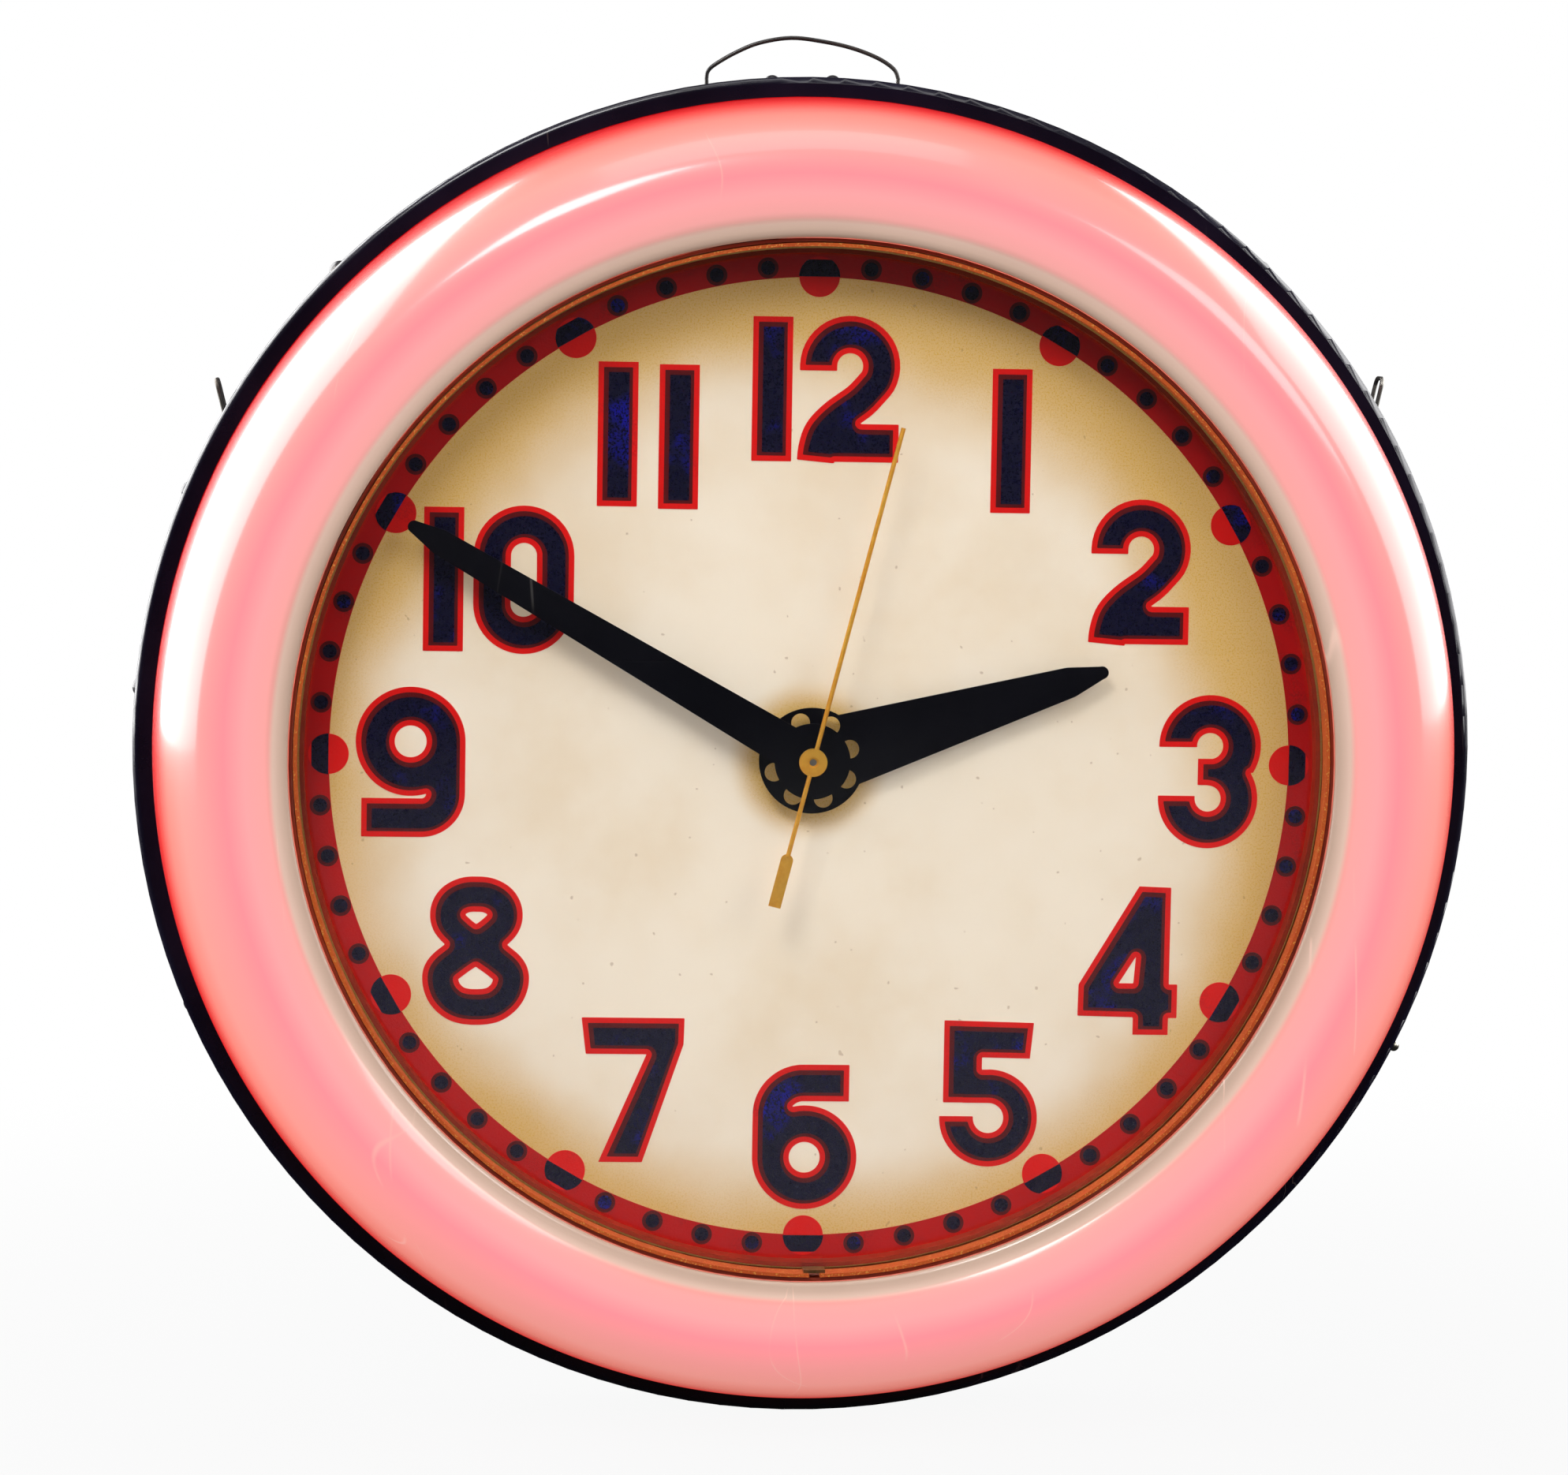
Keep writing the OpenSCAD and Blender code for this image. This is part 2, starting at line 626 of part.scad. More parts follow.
// Drum that carries the dial, the glass and the light ring's inner edge
module dial_pan() color([0.75, 0.73, 0.68]) difference() {
    skirt_z = reflector_flange_z + reflector_t;
    union() {
        translate([0, 0, skirt_z])
            tube(drum_out_r, drum_in_r, throat_z - ring_wall - fit - skirt_z, $fn = 192);
        translate([0, 0, floor_z]) cylinder(r = drum_out_r, h = sheet_t, $fn = 192);
    }
    translate([0, 0, floor_z]) {
        hole(hour_pipe_r + 3, sheet_t);
        at_corners() hole(stud_r + screw_gap, sheet_t);
    }
}

module dial_pan_posts() color([0.6, 0.6, 0.62])
    for (i = [0 : post_count - 1])
        rotate([0, 0, i * 360 / post_count]) translate([post_r, 0, pan_back + sheet_t + fit / 2])
            cylinder(r = 5, h = floor_z - pan_back - sheet_t - fit);

module dial() color([0.96, 0.9, 0.72]) translate([0, 0, dial_z - dial_t])
    tube(dial_r, hour_pipe_r + 1, dial_t, $fn = 192);

module spacer_ring() color([0.55, 0.08, 0.04]) translate([0, 0, dial_z + fit / 2])
    tube(spacer_out_r, spacer_out_r - spacer_wall, spacer_h - fit, $fn = 192);

// Domed glass: a shell between two spheres
module crystal() color([0.85, 0.93, 0.95, 0.3]) translate([0, 0, glass_z]) {
    r_in = (glass_r * glass_r + glass_dome * glass_dome) / (2 * glass_dome);
    difference() {
        intersection() {
            translate([0, 0, glass_dome - r_in]) sphere(r = r_in + glass_t, $fn = 360);
            cylinder(r = glass_r, h = glass_dome + glass_t + 1, $fn = 192);
        }
        translate([0, 0, glass_dome - r_in]) sphere(r = r_in, $fn = 360);
    }
}

// Split spring band that holds the glass in the drum
module crystal_band() color([0.72, 0.32, 0.12]) difference() {
    translate([0, 0, band_z]) tube(glass_r, glass_r - band_wall, throat_z - 1 - band_z, $fn = 192);
    translate([-band_split / 2, -glass_r - 5, band_z - 1]) cube([band_split, 20, 30]);
}

module band_clip() color([0.7, 0.62, 0.42]) at_clock(180)
    translate([-band_split / 2 - 2, glass_r - band_wall - 1.3, band_z + 0.5])
        cube([band_split + 4, 1.2, throat_z - 2.5 - band_z]);

// Right edge of the bail at w outside its centre line: leg, corner and flat arch, from foot to middle
function bail_edge(w, foot_y, span, half, arch_r, leg_top_y) = concat(
    [[bail_x + w, foot_y]],
    [for (k = [0 : 4]) let (a = (90 - half) * k / 4)
        [span + (bail_corner_r + w) * cos(a), leg_top_y + (bail_corner_r + w) * sin(a)]],
    [for (k = [5 : -1 : 0]) let (a = half * k / 6)
        [(arch_r + w) * sin(a), bail_top_y - arch_r + (arch_r + w) * cos(a)]]);
module bail_outline(w, foot_y) {
    span = bail_x - bail_corner_r;
    half = 2 * atan(bail_arch / span);
    arch_r = span / sin(half) + bail_corner_r;
    right = bail_edge(w, foot_y, span, half, arch_r, bail_top_y - bail_arch - bail_corner_r);
    polygon(concat(right, [for (k = [len(right) - 2 : -1 : 0]) [-right[k][0], right[k][1]]]));
}

// The bail's bow is cut flat and a little wider than the round wire of its two feet
module top_bail() color([0.05, 0.05, 0.06]) {
    half_w = wire_r + joint_swell;
    translate([0, 0, bail_z - half_w]) linear_extrude(height = 2 * half_w) difference() {
        bail_outline(half_w, bail_pivot_y - half_w);
        bail_outline(-half_w, bail_pivot_y - 2 * half_w);
    }
    for (s = [-1, 1])
        rod([s * bail_x, bail_pivot_y, bail_z], [s * (bail_x - bail_foot), bail_pivot_y, bail_z], wire_r);
}

// Folded strap inside the case, with an ear for each foot of the bail
module bail_bracket() color([0.4, 0.4, 0.42]) difference() {
    ear_x = bail_x - 5;
    ear_out = ear_x + ear_t / 2;
    strap_y = bail_pivot_y - 6;
    strap_w = 9;
    ear_h = sqrt(pan_in_r * pan_in_r - ear_out * ear_out) - 2 * fit - strap_y;
    union() {
        translate([-ear_x, strap_y, bail_z - strap_w / 2]) cube([2 * ear_x, bracket_t, strap_w]);
        for (s = [-1, 1])
            translate([s * ear_x - ear_t / 2, strap_y, bail_z - strap_w / 2])
                cube([ear_t, ear_h, strap_w]);
        for (a = [-rivet_a, rivet_a])
            at_clock(a) translate([0, strap_y + 0.2, bail_z]) rotate([-90, 0, 0])
                cylinder(r = 4.4, h = pan_in_r - strap_y - 0.5);
    }
    for (s = [-1, 1])
        translate([s * ear_x - 3, bail_pivot_y, bail_z]) rotate([0, 90, 0])
            cylinder(r = wire_r + run_gap, h = 6);
    for (a = [-rivet_a, rivet_a])
        at_clock(a) translate([0, 0, bail_z]) radial(screw_r + screw_gap, strap_y - 3, case_r);
}

// Wire loop that swings in the slots of the case's side; s is 1 on the right
module side_loop(s) color([0.3, 0.3, 0.32])
    at_clock(s * loop_pivot_a) translate([0, loop_pivot_r, 0]) rotate([0, 0, s * loop_lean]) {
        corner = 3;
        for (z = [loop_z_low, loop_z_high]) {
            e = z == loop_z_low ? 1 : -1;
            rod([0, 0, z], [0, loop_len - corner, z], wire_r);
            rod([0, 0, z], [0, 0, z + e * 4.5], wire_r);
            translate([0, 0, z]) sphere(r = wire_r, $fn = 32);
            translate([0, loop_len - corner, z + e * corner]) rotate([0, 90, 0])
                rotate([0, 0, e > 0 ? 0 : 90]) rotate_extrude(angle = 90, $fn = 48)
                    translate([corner, 0]) circle(r = wire_r, $fn = 32);
        }
        rod([0, loop_len, loop_z_low + corner], [0, loop_len, loop_z_high - corner], wire_r);
    }
module side_loop_left() side_loop(-1);
module side_loop_right() side_loop(1);

// Folded clips inside the case that hold the loops' feet
module loop_brackets() color([0.4, 0.4, 0.42]) for (s = [-1, 1]) difference() {
    reach = case_r * sin(bracket_screw_a - loop_pivot_a) + 5;
    inset = 2.6;
    low = loop_z_low + inset;
    high = loop_z_high - inset;
    strap_y = loop_pivot_r - 5;
    block = 12;
    wall_at_end = pan_in_r - reach * reach / (2 * pan_in_r) - 0.3;
    at_clock(s * loop_pivot_a) union() {
        for (z = [low, high - bracket_t]) translate([-3, strap_y, z]) cube([6, 7.4, bracket_t]);
        translate([s > 0 ? -3 : -reach, strap_y, low]) cube([reach + 3, bracket_t, high - low]);
        translate([s > 0 ? reach - block : -reach, strap_y, low])
            cube([block, wall_at_end - strap_y, high - low]);
    }
    at_clock(s * loop_pivot_a) translate([0, loop_pivot_r, loop_z_low])
        cylinder(r = wire_r + run_gap, h = loop_w);
    at_clock(s * bracket_screw_a) translate([0, 0, loop_mid_z])
        radial(screw_r + screw_gap, pan_in_r - 20, case_r);
}

module bracket_screws() color([0.12, 0.12, 0.14]) {
    for (a = [-rivet_a, rivet_a]) at_clock(a) translate([0, 0, bail_z]) wall_screw(2.8, 1.5);
    for (a = [-bracket_screw_a, bracket_screw_a])
        at_clock(a) translate([0, 0, loop_mid_z]) wall_screw(3, 1.6);
}

// Laminated core with two windows, the coils on its middle limb, and a clamping frame
module transformer_core() color([0.35, 0.34, 0.33])
    translate([-core_w / 2, core_y - core_len / 2, core_back_z]) difference() {
        cube([core_w, core_len, core_t]);
        for (x = [limb_w, core_w / 2 + mid_limb_w / 2])
            translate([x, limb_w, -cut])
                cube([core_w / 2 - limb_w - mid_limb_w / 2, core_len - 2 * limb_w, core_t + 2 * cut]);
    }

module transformer_coils() color([0.62, 0.35, 0.16]) translate([0, core_y, core_back_z]) {
    window = core_len - 2 * limb_w - 1;
    apart = 0.6;
    slack = 0.4;
    over = 4;
    for (s = [-1, 1]) translate([-coil_w / 2, s > 0 ? apart : -window / 2, -over]) difference() {
        cube([coil_w, window / 2 - apart, core_t + 2 * over]);
        translate([coil_w / 2 - mid_limb_w / 2 - slack, -cut, over - slack])
            cube([mid_limb_w + 2 * slack, window, core_t + 2 * slack]);
    }
}

// Each side of the frame: an upright beside the core, a foot on the pan and a lip behind the limb
module transformer_frame() color([0.16, 0.16, 0.17]) difference() {
    frame_w = 40;
    foot_t = 1.5;
    foot_w = 15.2;
    lip_t = 1.3;
    low = core_back_z - 1.4;
    for (s = [-1, 1]) translate([0, core_y - frame_w / 2, 0]) {
        translate([s * (core_w / 2 + 0.8) - bracket_t / 2, 0, low])
            cube([bracket_t, frame_w, pan_back - fit - low]);
        translate([s * (core_w / 2 + 7.8) - foot_w / 2, 0, pan_back - fit - foot_t])
            cube([foot_w, frame_w, foot_t]);
        translate([s * (core_w / 2 - limb_w / 2 + 0.4) - limb_w / 2 - 1, 0, low])
            cube([limb_w + 2, frame_w, lip_t]);
    }
    translate([0, 0, pan_back - fit - foot_t]) at_frame_screws() hole(screw_r + screw_gap, foot_t);
}

module chassis_screws() color([0.7, 0.66, 0.5])
    translate([0, 0, pan_back - fit - 1.5 - seat]) at_frame_screws() {
        mirror([0, 0, 1]) dome(3.6, 1.8);
        translate([0, 0, -0.3]) cylinder(r = screw_r, h = 7);
    }

// Block with four clamp screws sunk in its back and a wire pocket at both ends of each
module terminal_block() color([0.12, 0.07, 0.05]) translate([60, -30, pan_back - fit - 16]) difference() {
    translate([-24, -9, 0]) cube([48, 18, 16]);
    for (x = [-16, -5.3, 5.3, 16]) translate([x, 0, -cut]) {
        cylinder(r = 2.6, h = 7);
        translate([-3.6, -10, 0]) cube([7.2, 5, 9]);
        translate([-3.6, 5, 0]) cube([7.2, 5, 9]);
    }
}

// Cloth-covered wires between the terminal block, the switch, the transformer and the motor
module inner_wires() color([0.75, 0.7, 0.6]) {
    sw_a = 90 - switch_angle;
    sw_r = case_r - switch_h - 12;
    sw = [sw_r * cos(sw_a), sw_r * sin(sw_a), switch_z];
    up = pan_back + 10;
    wire([[wire_hole_x, wire_hole_y, up - 26], [wire_hole_x, wire_hole_y, up], [sw[0] - 20, sw[1], up],
          [sw[0] - 20, sw[1], sw[2]], sw], 1.3);
    wire([[wire_hole_x - 4, wire_hole_y + 1, up - 26], [wire_hole_x - 4, wire_hole_y + 1, up + 6],
          [30, 20, up + 6], [24, motor_dist + 46, up + 6]], 1.1);
}

// Moulded body with its threaded bushing, and a flared well in which the lever turns on its pin
module switch_body() color([0.1, 0.08, 0.07])
    at_clock(switch_angle) translate([0, 0, switch_z]) difference() {
        back = pan_in_r - 4 - switch_h;
        union() {
            translate([-switch_len / 2, back, -switch_w / 2]) cube([switch_len, switch_h, switch_w]);
            radial(bushing_r, pan_in_r - 4.5, case_r + 2.2);
            for (x = [-9, 9]) translate([x, back, 0]) radial(1.4, -7, 0.5);
        }
        translate([0, case_r - lever_pivot_in, 0]) {
            sphere(r = 2.1, $fn = 48);
            translate([0, 0, -lever_pin_len / 2 - fit])
                cylinder(r = lever_pin_r + run_gap, h = lever_pin_len + 2 * fit);
            rotate([-90, 0, 0]) cylinder(r1 = 1.6, r2 = bushing_r - 0.5, h = lever_pivot_in + 3);
        }
    }

module switch_nut() color([0.7, 0.68, 0.6]) at_clock(switch_angle) translate([0, case_r + 0.1, switch_z])
    rotate([-90, 0, 0]) difference() {
        cylinder(r = bushing_r + 2, h = nut_h, $fn = 6);
        translate([0, 0, -1]) cylinder(r = bushing_r + 0.05, h = nut_h + 2);
    }

module switch_lever() color([0.75, 0.72, 0.62]) at_clock(switch_angle)
    translate([0, case_r - lever_pivot_in, switch_z]) rotate([0, 0, -lever_throw / 2]) {
        sphere(r = 1.7, $fn = 48);
        translate([0, 0, -lever_pin_len / 2]) cylinder(r = lever_pin_r, h = lever_pin_len);
        rod([0, 0, 0], [0, lever_pivot_in + lever_out, 0], 0.8);
        translate([0, lever_pivot_in + lever_out, 0]) sphere(r = lever_ball_r, $fn = 48);
    }

module plate(z) translate([-plate_side / 2, -plate_side / 2, z]) cube([plate_side, plate_side, plate_t]);
module at_corners()
    for (x = [-1, 1]) for (y = [-1, 1]) translate([x * corner_at, y * corner_at, 0]) children();
module bearing(x, y, r, z) translate([x, y, z]) hole(r + run_gap, plate_t);

module front_plate() color([0.78, 0.62, 0.3]) {
    difference() {
        plate(front_plate_z);
        bearing(0, 0, minute_arbor_r, front_plate_z);
        bearing(idler_x, idler_y, idler_arbor_r, front_plate_z);
        bearing(0, -set_dist, set_shaft_r, front_plate_z);
        translate([0, 0, front_plate_z]) at_corners() hole(stud_r + screw_gap, plate_t);
    }
    translate([0, -motion_dist, front_plate_z + 1]) cylinder(r = motion_pin_r, h = 11);
}

module back_plate() color([0.78, 0.62, 0.3]) difference() {
    plate(back_plate_z);
    bearing(0, 0, second_arbor_r, back_plate_z);
    bearing(idler_x, idler_y, idler_arbor_r, back_plate_z);
    bearing(0, motor_dist, motor_shaft_r, back_plate_z);
    bearing(0, -set_dist, set_shaft_r, back_plate_z);
    translate([0, 0, back_plate_z]) at_corners() hole(stud_r + screw_gap, plate_t);
}

module plate_pillars() color([0.8, 0.66, 0.35]) at_corners() {
    stud_below = 4;
    stud_above = 3;
    translate([0, 0, back_plate_z + plate_t + fit / 2]) cylinder(r = pillar_r, h = plate_gap - fit);
    translate([0, 0, back_plate_z - stud_below])
        cylinder(r = stud_r, h = plate_gap + 2 * plate_t + stud_below + stud_above);
}

module plate_nuts() color([0.8, 0.78, 0.7]) at_corners()
    translate([0, 0, back_plate_z - fit / 2 - nut_t]) difference() {
        cylinder(r = 3.4, h = nut_t, $fn = 6);
        hole(stud_r + 0.05, nut_t);
    }

// Posts that hang the movement from the dial pan
module movement_posts() color([0.6, 0.6, 0.62]) at_corners()
    translate([0, 0, front_plate_z + plate_t + fit / 2]) difference() {
        cylinder(r = pillar_r, h = floor_z - front_plate_z - plate_t - fit);
        translate([0, 0, -1]) cylinder(r = stud_r + 0.1, h = 5);
    }

// Sealed rotor housing, its field plates and coil
module motor_can() color([0.72, 0.45, 0.25]) translate([0, motor_dist, 0]) difference() {
    union() {
        translate([0, 0, field_z - 8]) cylinder(r = motor_can_r, h = 8 + field_t + 3);
        translate([0, 0, field_z + field_t + 2])
            cylinder(r = 5, h = back_plate_z - fit - field_z - field_t - 2);
    }
    translate([0, 0, field_z - 4]) cylinder(r = motor_shaft_r + run_gap, h = 40);
}

module motor_field() color([0.4, 0.4, 0.42]) translate([0, motor_dist, field_z]) difference() {
    translate([-field_w / 2, -28, 0]) cube([field_w, field_len, field_t]);
    hole(motor_can_r + 0.3, field_t);
    translate([-coil_len / 2 - 0.5, 24, -cut]) cube([coil_len + 1, 11, field_t + 2 * cut]);
}

module motor_coil() color([0.45, 0.12, 0.08])
    translate([-coil_len / 2, coil_y, field_z + field_t / 2]) rotate([0, 90, 0]) difference() {
        cylinder(r = coil_r, h = coil_len);
        translate([-field_t / 2 - 0.3, -6.8, -cut]) cube([field_t + 0.6, 13.6, coil_len + 2 * cut]);
    }

module motor_pinion() color([0.8, 0.65, 0.3]) translate([0, motor_dist, 0]) {
    plate_top = back_plate_z + plate_t;
    translate([0, 0, field_z + 2]) cylinder(r = motor_shaft_r, h = plate_top + 8.5 - field_z - 2);
    translate([0, 0, plate_top + 2.5]) gear(motor_pinion_n, going_module, 4, 270 + 180 / motor_pinion_n);
}

module second_arbor() color([0.75, 0.74, 0.7]) {
    translate([0, 0, back_plate_z - 2])
        cylinder(r = second_arbor_r, h = second_hand_z - back_plate_z + 2.2);
    translate([0, 0, second_wheel_z]) gear(second_wheel_n, going_module, 1.2, 90);
    translate([0, 0, second_pinion_z]) gear(second_pinion_n, going_module, 3.2, idler_dir);
}

// Round rod with a hub at the middle and a flat paddle at the tail
module second_hand() color([0.83, 0.65, 0.25]) at_clock(second_rest) translate([0, 0, second_hand_z]) {
    mid = 0.8;
    rod_r = 0.85;
    hub_r = 5.2;
    rod_start = hub_r - 0.4;
    len = dial_r - second_gap;
    paddle_l = 20.3;
    paddle_w = 4.6;
    paddle_t = 0.8;
    difference() {
        cylinder(r = hub_r, h = 2 * mid);
        translate([0, 0, -cut]) cylinder(r = second_arbor_r + press, h = mid + cut + 0.2);
        translate([0, 0, mid + 0.2]) cylinder(r = 2, h = 2);
    }
    rod([0, rod_start, mid], [0, len, mid], rod_r);
    rod([0, -rod_start, mid], [0, -second_tail + paddle_l - 1, mid], rod_r);
    translate([-paddle_w / 2, -second_tail, mid - paddle_t / 2]) linear_extrude(height = paddle_t) union() {
        square([paddle_w, paddle_l - paddle_w / 2]);
        translate([paddle_w / 2, paddle_l - paddle_w / 2]) circle(d = paddle_w, $fn = 32);
    }
}

module idler_wheel() color([0.8, 0.65, 0.3]) translate([idler_x, idler_y, 0]) {
    translate([0, 0, back_plate_z]) cylinder(r = idler_arbor_r, h = plate_gap + 2 * plate_t);
    translate([0, 0, idler_wheel_z]) difference() {
        gear(idler_n, going_module, 1.2, idler_dir + 180 + 180 / idler_n);
        spokes(5, 14.5, 4, 1.2, 3);
    }
    translate([0, 0, clutch_wheel_z - 1])
        gear(idler_pinion_n, clutch_module, 3.4, idler_dir + 180 + 180 / idler_pinion_n);
}

module clutch_wheel() color([0.8, 0.65, 0.3]) translate([0, 0, clutch_wheel_z]) difference() {
    gear(clutch_n, clutch_module, 1.4, idler_dir);
    spokes(7.5, 14.8, 4, 1.4, 3);
    translate([0, 0, -1]) cylinder(r = minute_arbor_r + run_gap, h = 4);
}

// Three-armed friction spring that presses the clutch wheel against the arbor's collar
module clutch_spring() color([0.7, 0.7, 0.66]) translate([0, 0, clutch_wheel_z - 1.5]) difference() {
    leaf_t = 0.6;
    arm_w = 3;
    arm_l = 6.8;
    union() {
        cylinder(r = 4.6, h = leaf_t);
        for (i = [0 : 2]) rotate([0, 0, i * 120 + 30]) {
            translate([0, -arm_w / 2, 0]) cube([arm_l, arm_w, leaf_t]);
            translate([arm_l - 1, -arm_w / 2, 0]) cube([1, arm_w, 1.46]);
        }
    }
    hole(minute_arbor_r + press, leaf_t);
}

module minute_arbor() color([0.75, 0.74, 0.7]) difference() {
    union() {
        translate([0, 0, minute_arbor_z])
            cylinder(r = minute_arbor_r, h = minute_hand_z + hand_t + 1.8 - minute_arbor_z);
        translate([0, 0, minute_arbor_z]) cylinder(r = 4.6, h = 2);
        translate([0, 0, clutch_wheel_z + 1.45]) cylinder(r = 5.6, h = 1.2);
        translate([0, 0, motion_z]) gear(cannon_n, motion_module, 2.4, -90);
    }
    translate([0, 0, minute_arbor_z - 1]) cylinder(r = second_arbor_r + run_gap, h = 60);
}

// Tapered hand with a round tip, pointing along +y
module hand_outline(len, root_w, shoulder_w, shoulder_at, tip_r) {
    polygon([[-root_w / 2, 0], [root_w / 2, 0], [shoulder_w / 2, shoulder_at], [tip_r, len - tip_r],
             [-tip_r, len - tip_r], [-shoulder_w / 2, shoulder_at]]);
    translate([0, len - tip_r]) circle(r = tip_r, $fn = 32);
}

module minute_hand() color([0.06, 0.06, 0.08]) at_clock(minute_rest) translate([0, 0, minute_hand_z])
    linear_extrude(height = hand_t) difference() {
        len = dial_r - minute_gap;
        union() {
            circle(r = minute_hub_r);
            hand_outline(len, minute_root_w, minute_shoulder_w, len - 13, hand_tip_r);
        }
        circle(r = minute_arbor_r + press);
    }

module hand_nut() color([0.7, 0.6, 0.35]) translate([0, 0, minute_hand_z + hand_t + seat])
    tube(4.4, minute_arbor_r + press, 1.6, $fn = 48);

module minute_wheel() color([0.8, 0.65, 0.3]) translate([0, -motion_dist, 0]) difference() {
    union() {
        translate([0, 0, motion_z + 0.6])
            gear(minute_wheel_n, motion_module, 1.2, 90 + 180 / minute_wheel_n);
        translate([0, 0, motion_z + 1.7])
            gear(motion_pinion_n, hour_module, 4.4, 90 + 180 / motion_pinion_n);
    }
    translate([0, 0, motion_z - 1]) cylinder(r = motion_pin_r + run_gap, h = 10);
}

module hour_wheel() color([0.8, 0.65, 0.3]) difference() {
    union() {
        translate([0, 0, motion_z + 3])
            cylinder(r = hour_pipe_r, h = hour_hand_z + hand_t + 0.8 - motion_z - 3);
        translate([0, 0, motion_z + 3.6]) gear(hour_wheel_n, hour_module, 1.2, -90);
    }
    translate([0, 0, motion_z]) cylinder(r = minute_arbor_r + run_gap, h = 40);
}

// Hour hand with a ring of round holes in its hub
module hour_hand() color([0.06, 0.06, 0.08]) at_clock(hour_rest) translate([0, 0, hour_hand_z])
    linear_extrude(height = hand_t) difference() {
        len = dial_r - hour_gap;
        union() {
            circle(r = hour_hub_r);
            hand_outline(len, hour_root_w, hour_shoulder_w, len - 14.5, hand_tip_r);
        }
        circle(r = hour_pipe_r + press);
        for (i = [0 : 7])
            rotate([0, 0, 45 * i]) translate([0, hub_hole_at]) circle(r = hub_hole_r, $fn = 32);
    }

module set_shaft() color([0.7, 0.7, 0.68]) translate([0, -set_dist, 0]) {
    translate([0, 0, 4]) cylinder(r = set_shaft_r, h = motion_z);
    translate([0, 0, motion_z]) gear(set_gear_n, motion_module, 2.4, 90);
}

// Knurled knob that stays below the back cover's face
module set_knob() color([0.12, 0.1, 0.09]) translate([0, -set_dist, 1.5]) difference() {
    union() {
        cylinder(r = knob_d / 2 - 1, h = knob_h);
        translate([0, 0, 1]) linear_extrude(height = knob_h - 2)
            polygon([for (i = [0 : 71])
                let (r = knob_d / 2 - (i % 2) * 0.7) [r * cos(i * 5), r * sin(i * 5)]]);
    }
    translate([0, 0, 2.5]) cylinder(r = set_shaft_r + press, h = knob_h);
}

facing() case_pan();
facing() front_bezel();
facing() bezel_screws();
facing() rear_can();
facing() can_screws();
facing() back_cover();
facing() cover_screws();
facing() cord_bushing();
facing() glow_ring();
facing() ring_gasket();
facing() reflector();
facing() neon_tube();
facing() tube_supports();
facing() electrode_boots();
facing() ht_leads();
facing() ht_bushings();
facing() dial_pan();
facing() dial_pan_posts();
facing() dial();
facing() spacer_ring();
facing() crystal();
facing() crystal_band();
facing() band_clip();
facing() top_bail();
facing() bail_bracket();
facing() side_loop_left();
facing() side_loop_right();
facing() loop_brackets();
facing() bracket_screws();
facing() transformer_core();
facing() transformer_coils();
facing() transformer_frame();
facing() chassis_screws();
facing() terminal_block();
facing() inner_wires();
facing() switch_body();
facing() switch_nut();
facing() switch_lever();
facing() front_plate();
facing() back_plate();
facing() plate_pillars();
facing() plate_nuts();
facing() movement_posts();
facing() motor_can();
facing() motor_coil();
facing() motor_field();
facing() motor_pinion();
facing() second_arbor();
facing() second_hand();
facing() idler_wheel();
facing() clutch_wheel();
facing() clutch_spring();
facing() minute_arbor();
facing() minute_hand();
facing() hand_nut();
facing() minute_wheel();
facing() hour_wheel();
facing() hour_hand();
facing() set_shaft();
facing() set_knob();
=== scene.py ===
"""Service station advertising clock: its finishes, printed dial, glass, light ring and lighting."""
import json
import math
import bmesh
import bpy
import numpy as np
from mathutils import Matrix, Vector


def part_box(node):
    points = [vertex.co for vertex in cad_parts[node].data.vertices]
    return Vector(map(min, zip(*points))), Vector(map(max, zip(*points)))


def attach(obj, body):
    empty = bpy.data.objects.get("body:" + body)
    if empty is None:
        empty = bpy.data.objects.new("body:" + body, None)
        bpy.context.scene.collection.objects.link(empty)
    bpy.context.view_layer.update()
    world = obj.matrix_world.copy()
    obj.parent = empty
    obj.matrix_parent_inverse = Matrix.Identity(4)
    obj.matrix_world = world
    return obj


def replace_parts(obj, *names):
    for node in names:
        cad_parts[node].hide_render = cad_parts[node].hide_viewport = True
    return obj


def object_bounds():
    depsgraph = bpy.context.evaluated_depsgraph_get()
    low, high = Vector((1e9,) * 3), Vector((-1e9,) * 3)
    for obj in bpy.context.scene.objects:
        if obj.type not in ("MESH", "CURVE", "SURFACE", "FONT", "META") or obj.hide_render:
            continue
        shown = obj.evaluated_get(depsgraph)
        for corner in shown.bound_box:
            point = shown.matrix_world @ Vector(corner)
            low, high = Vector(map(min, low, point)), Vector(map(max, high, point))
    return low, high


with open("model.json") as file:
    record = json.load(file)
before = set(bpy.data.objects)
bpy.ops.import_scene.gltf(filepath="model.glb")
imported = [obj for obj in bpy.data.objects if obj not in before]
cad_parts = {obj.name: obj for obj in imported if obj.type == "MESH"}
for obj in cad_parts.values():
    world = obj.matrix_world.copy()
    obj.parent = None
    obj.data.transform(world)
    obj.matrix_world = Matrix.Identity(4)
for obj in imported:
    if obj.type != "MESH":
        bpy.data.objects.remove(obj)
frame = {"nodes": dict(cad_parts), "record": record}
cad_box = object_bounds()
scene = bpy.context.scene
cad = frame["nodes"]
MM = 0.001


